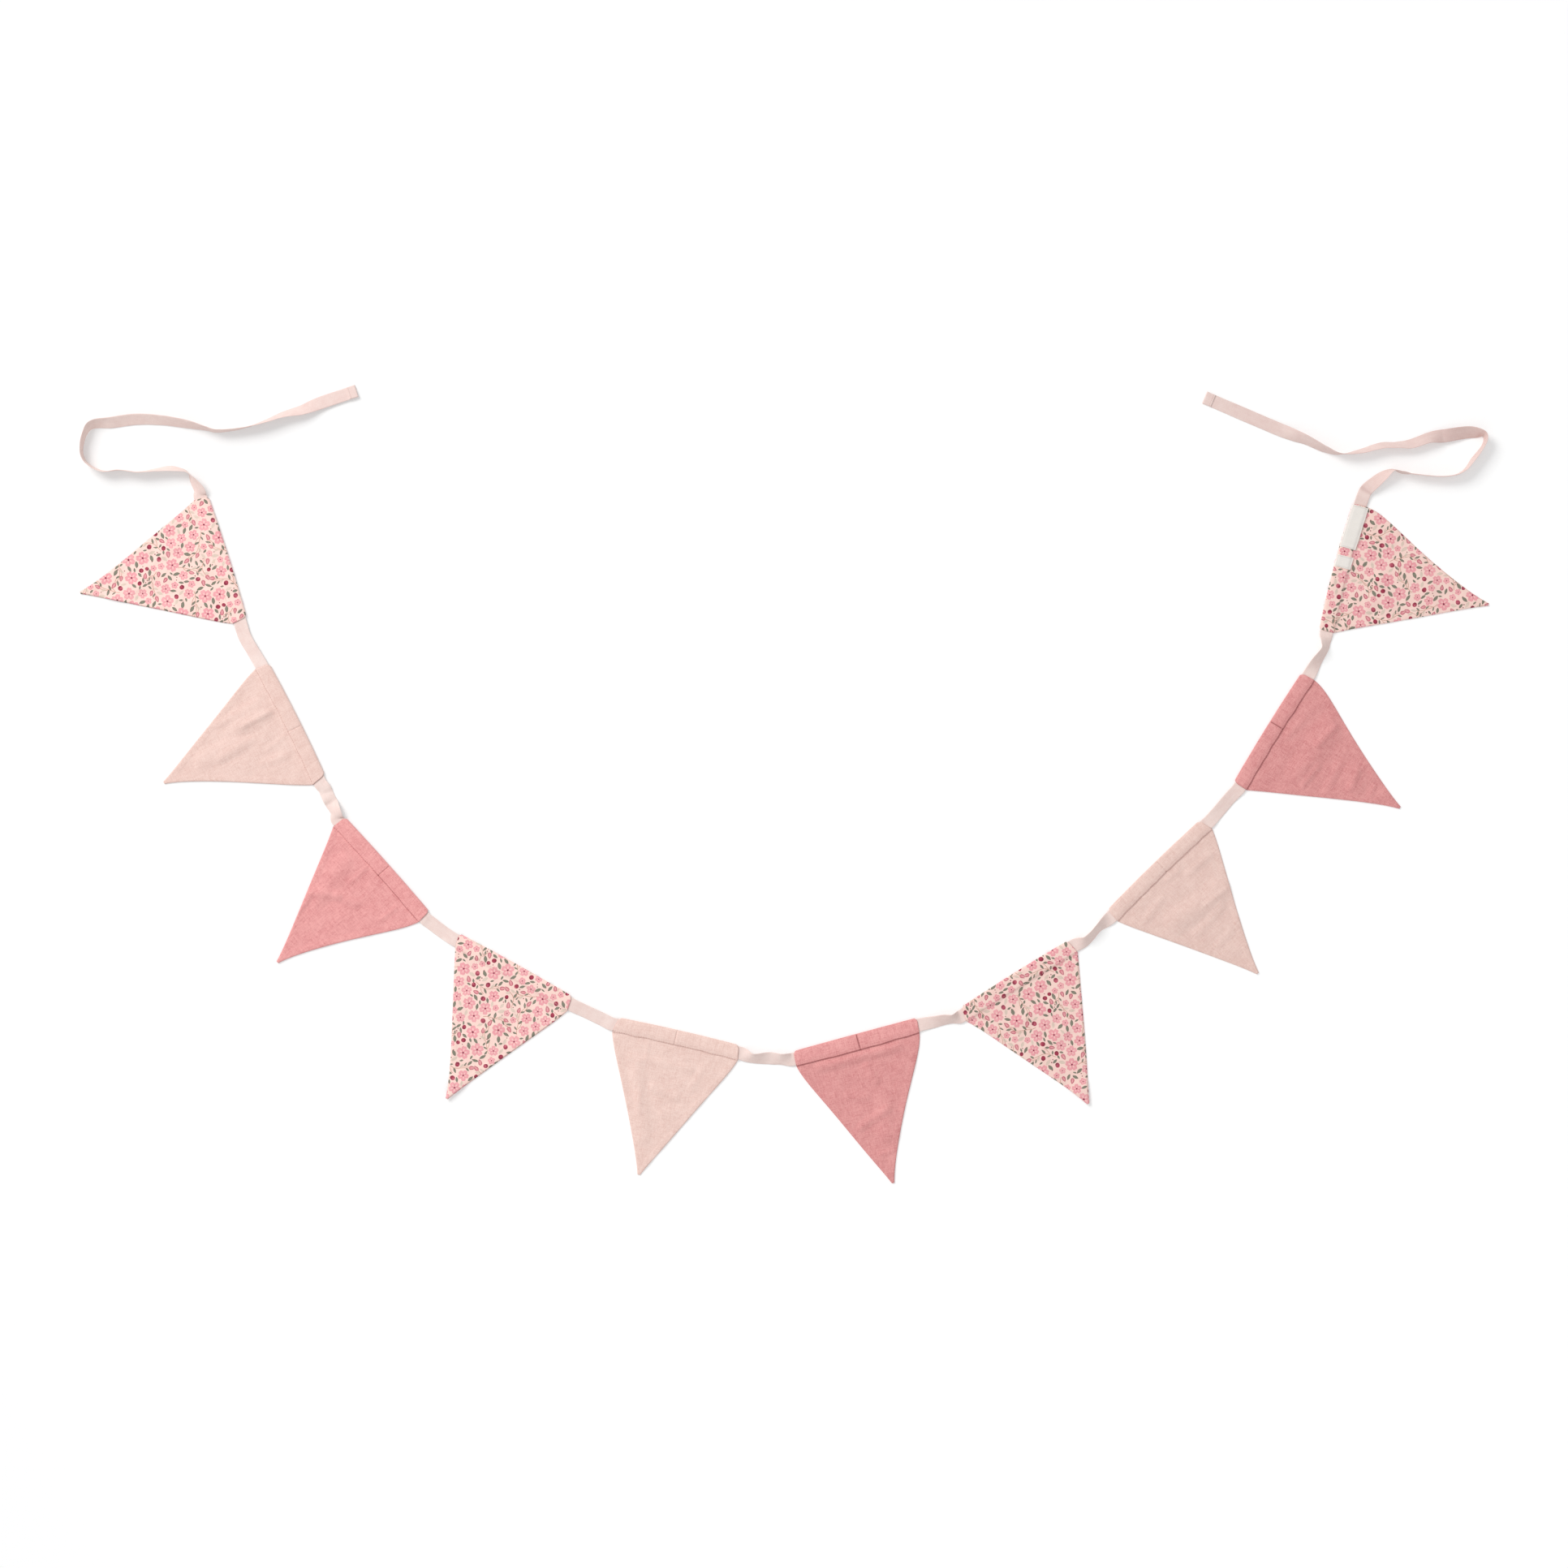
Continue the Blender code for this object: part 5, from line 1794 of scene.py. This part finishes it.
        # Painted shade along both ties, with a narrow painted shadow of a crease near the last end.
        shade = np.interp(travelled, *np.transpose(FIRST_SHADES))
        shade += np.interp(total - travelled, *np.transpose(LAST_SHADES))
        top = shell.lay((body + half) * MM, shade[:, None])
        under = shell.lay(np.maximum(body - half, (-np.inf, -np.inf, 0.0)) * MM, shade[:, None])
        shell.band(top, under, cloth, other)
        piece, _ = shell.build("tape_cloth")
        return piece, (total + 2 * self.hem) * MM

    def sew(self) -> bpy.types.Object:
        """Makes the stitches across both hems."""
        rows, _ = self.line()
        across, face, tilt = self.frames(rows)
        middles = self.middles(rows, tilt, self.hem_thick)
        marks = np.arange(-6.6, 7.0, 2.2)
        pair = []
        for shift in (-0.75, 0.75):
            ends = []
            for spot in (self.hem - self.stitch_in, rows[-1, 4] - self.hem + self.stitch_in):
                k = int(np.argmin(np.abs(rows[:, 4] - spot)))
                up = np.sign(face[k, 2]) * face[k]
                centre = middles[k] + up * (0.5 * self.hem_thick + 0.02)
                ends.append(centre + (marks + shift)[:, None] * across[k])
            pair.append(np.concatenate(ends) * MM)
        return stitches("tape_stitches", pair[0], pair[1], self.stitch_radius)


# Labels


@dataclass
class Label:
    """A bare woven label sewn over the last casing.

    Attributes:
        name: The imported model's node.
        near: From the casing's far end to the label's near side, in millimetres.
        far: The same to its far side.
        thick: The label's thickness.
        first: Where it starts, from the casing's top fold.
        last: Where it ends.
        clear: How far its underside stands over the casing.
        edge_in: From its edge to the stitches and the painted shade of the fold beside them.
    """

    name: str
    near: float
    far: float
    thick: float = 0.6
    first: float = 0.15
    last: float = 20.4
    clear: float = 0.22
    edge_in: float = 1.3
    stitch_radius: float = 0.17

    def under(self, pennant: Pennant, across: Array, out: Array) -> Array:
        """Returns the label's underside, just clear of the casing that it lies on."""
        follow = np.maximum(pennant.casing_top(across, out), 2.9 * smooth_step(12.0, 16.0, out))
        return follow + self.clear - 0.1 * smooth_step(3.0, 7.0, out)

    def grid(self, pennant: Pennant) -> tuple[Array, Array, Array]:
        """Returns the across and out grids and each point's distance to the label's edge."""
        ends = pennant.width / 2 - np.array([self.far, self.near])
        inset = np.array([0.0, 0.12, 0.35, 0.8])
        plain = np.linspace(ends[0] + 1.4, ends[1] - 1.4, round((ends[1] - ends[0]) / 1.2))
        across = np.concatenate([ends[0] + inset, plain, ends[1] - inset[::-1]])
        between = np.linspace(self.first + 1.4, self.last - 1.4, 14)
        out = np.concatenate([self.first + inset, between, self.last - inset[::-1]])
        across, out = np.meshgrid(across, out)
        edge = np.minimum.reduce([across - ends[0], ends[1] - across, out - self.first, self.last - out])
        return across, out, edge

    def build(self, pennant: Pennant) -> bpy.types.Object:
        """Makes the label: a thin pillow with rounded edges that follows the casing."""
        across, out, edge = self.grid(pennant)
        swell = rounded(edge, 0.5)
        base = self.under(pennant, across, out) + 0.05 * (1.0 + waves(across, out, 12.0, 9))
        half = (self.thick / 2) * (0.15 + 0.85 * swell)
        fold = 0.12 * bell(edge - self.edge_in, 0.4)
        middle = base + self.thick / 2
        shell = Shell()
        cloth = np.stack([across, out], axis=-1) * MM
        # Painted shade in the fold beside the stitches.
        dark = 0.25 * bell(edge - self.edge_in, 0.3)
        top = shell.lay(pennant.place(across, out, middle + half - fold), dark)
        under = shell.lay(pennant.place(across, out, middle - half))
        shell.band(top, under, cloth, cloth)
        piece, _ = shell.build(self.name + "_cloth")
        return piece

    def sew(self, pennant: Pennant) -> bpy.types.Object:
        """Makes the stitches across both ends of the label."""
        ends = pennant.width / 2 - np.array([self.far - self.edge_in, self.near + self.edge_in])
        middles = np.arange(self.first + 1.6, self.last - 0.8, 2.0)
        across = np.repeat(ends, len(middles))
        out = np.tile(middles, 2)
        pair = []
        for shift in (-0.7, 0.7):
            height = self.under(pennant, across, out + shift) + self.thick + 0.02
            pair.append(pennant.place(across, out + shift, height))
        return stitches(self.name + "_stitches", pair[0], pair[1], self.stitch_radius)


LABELS = (Label("label_long", 1.2, 55.2), Label("label_small", 65.2, 80.2))


# Putting it together


@dataclass
class Bunting:
    """The whole bunting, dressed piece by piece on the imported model's nodes."""

    tape: Tape = field(default_factory=Tape)
    print_: Print = field(default_factory=Print)

    def shift(self) -> Array:
        """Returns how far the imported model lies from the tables, from its first pennant's box."""
        low, high = (np.array(corner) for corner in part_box(PENNANTS[0].name))
        outs = np.linspace(0.0, PENNANTS[0].drop, 400)
        sides = PENNANTS[0].sides(outs)
        points = np.concatenate([PENNANTS[0].place(side, outs, outs * 0.0) for side in sides])
        found = (points.min(axis=0) + points.max(axis=0)) / 2
        return np.array([*((low + high) / 2 - found)[:2], 0.0])

    def settle(
        self, piece: bpy.types.Object, cloth: Cloth, material: bpy.types.Material, *nodes: str
    ) -> None:
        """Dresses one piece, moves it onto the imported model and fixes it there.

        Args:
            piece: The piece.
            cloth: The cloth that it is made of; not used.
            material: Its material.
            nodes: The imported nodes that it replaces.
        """
        mesh = piece.data
        points = np.zeros(len(mesh.vertices) * 3, np.float32)
        mesh.vertices.foreach_get("co", points)
        moved = points.reshape(-1, 3) + self.shift()
        mesh.vertices.foreach_set("co", moved.astype(np.float32).ravel())
        mesh.update()
        mesh.materials.append(material)
        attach(piece, BODY)
        if nodes:
            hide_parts(*nodes)
        LOG.info("%s: %d faces", piece.name, len(mesh.polygons))

    def build(self) -> None:
        cloths = {cloth: finish.material() for cloth, finish in FINISHES.items()}
        threads = {cloth: finish.material() for cloth, finish in THREADS.items()}
        labels = []
        for label in LABELS:
            piece = label.build(PENNANTS[-1])
            self.settle(piece, Cloth.LABEL, cloths[Cloth.LABEL], label.name)
            sewing = label.sew(PENNANTS[-1])
            self.settle(sewing, Cloth.LABEL, threads[Cloth.LABEL])
            labels += [piece, sewing]
        for pennant in PENNANTS:
            print_ = self.print_ if pennant.cloth is Cloth.FLORAL else None
            piece = pennant.build(print_)
            self.settle(piece, pennant.cloth, cloths[pennant.cloth], pennant.name)
            sewing = pennant.sew()
            self.settle(sewing, pennant.cloth, threads[pennant.cloth])
            on_it = [sewing] + (labels if pennant is PENNANTS[-1] else [])
            pennant.flat_area()
        piece, length = self.tape.build()
        self.settle(piece, Cloth.TAPE, cloths[Cloth.TAPE], "tape")
        sewing = self.tape.sew()
        self.settle(sewing, Cloth.TAPE, threads[Cloth.TAPE])


@dataclass(frozen=True)
class Lamp:
    """A soft square light: its place, side, power and colour."""

    name: str
    place: tuple[float, float, float]
    side: float
    power: float
    colour: Colour = (1.0, 1.0, 1.0)

    def light(self) -> None:
        """Adds the light, pointing at the middle of the bunting."""
        data = bpy.data.lights.new(self.name, "AREA")
        data.size = self.side
        data.energy = self.power
        data.color = self.colour
        lamp = added(self.name, data)
        lamp.location = self.place
        lamp.rotation_euler = (-Vector(self.place)).to_track_quat("-Z", "Y").to_euler()


@dataclass
class Studio:
    """The pale floor, the soft light and the camera straight above.

    The floor's grey grows by floor_right a metre to the right and floor_up a metre upwards, which
    evens out the light of the key lamp.

    Attributes:
        floor_side: Side of the square floor, in metres as all sizes here but the sensor's.
        floor_drop: How far it lies under the bunting.
        camera_reach: The farthest that the camera sees.
        view_width: How much of the floor it sees across.
        photo_middle: The point below it.
        sky: Strength of the light from all round.
        floor_grey: The floor's grey in the middle.
        floor_glow: The floor's own light, which keeps its shadows faint.
        floor_gloss: Level of its reflection.
    """

    floor_side: float = 14.0
    floor_drop: float = 0.0003
    camera_height: float = 4.0
    camera_reach: float = 50.0
    sensor: float = 36.0
    view_width: float = 1.932
    photo_middle: tuple[float, float] = (-0.0005, 0.0)
    lamps: tuple[Lamp, ...] = (
        Lamp("key", (-3.7, 3.45, 4.4), 3.04, 271.0, (1.0, 0.993, 0.98)),
        Lamp("fill", (-0.4, -2.8, 3.4), 3.0, 12.0),
    )
    sky: float = 0.62
    sky_colour: Colour = (0.985, 0.993, 1.0)
    floor_grey: float = 0.8
    floor_right: float = 0.069
    floor_up: float = -0.05
    floor_glow: float = 0.2
    floor_rough: float = 0.9
    floor_gloss: float = 0.1

    def build(self) -> None:
        """Adds the floor, the lamps, the sky and the camera."""
        self.lay_floor()
        for lamp in self.lamps:
            lamp.light()
        self.light_sky()
        self.hang_camera()

    def lay_floor(self) -> None:
        """Adds the floor."""
        half = self.floor_side / 2
        mesh = bpy.data.meshes.new("floor")
        corners = [(x * half, y * half, -self.floor_drop) for x, y in ((-1, -1), (1, -1), (1, 1), (-1, 1))]
        mesh.from_pydata(corners, [], [(0, 1, 2, 3)])
        graph = Graph("floor_paper")
        x, y, _ = graph.parts(graph.node("ShaderNodeTexCoord", {}, {}, "Object"))
        grey = (x * self.floor_right + y * self.floor_up + self.floor_grey).clamp()
        graph.feed(graph.shader.inputs["Base Color"], graph.join(grey, grey, grey))
        graph.feed(graph.shader.inputs["Roughness"], self.floor_rough)
        graph.feed(graph.shader.inputs["Emission Color"], (1.0, 1.0, 1.0))
        graph.feed(graph.shader.inputs["Emission Strength"], self.floor_glow)
        graph.feed(graph.shader.inputs["Specular IOR Level"], self.floor_gloss)
        mesh.materials.append(graph.material)
        added("floor", mesh)

    def light_sky(self) -> None:
        """Adds the light from all round, and shows colours as they are."""
        world = bpy.data.worlds.new("studio")
        world.use_nodes = True
        sky = world.node_tree.nodes["Background"]
        sky.inputs["Color"].default_value = (*self.sky_colour, 1.0)
        sky.inputs["Strength"].default_value = self.sky
        bpy.context.scene.world = world
        bpy.context.scene.view_settings.view_transform = "Standard"

    def hang_camera(self) -> None:
        """Adds the camera, straight above and looking down."""
        data = bpy.data.cameras.new("camera")
        data.sensor_width = self.sensor
        data.lens = self.sensor * self.camera_height / self.view_width
        data.clip_end = self.camera_reach
        camera = added("camera", data)
        camera.location = (*self.photo_middle, self.camera_height)
        bpy.context.scene.camera = camera


def main() -> None:
    """Builds the studio and the bunting."""
    logging.basicConfig(level=logging.INFO, format="%(name)s %(message)s")
    Studio().build()
    Bunting().build()


if __name__ == "__main__":
    main()
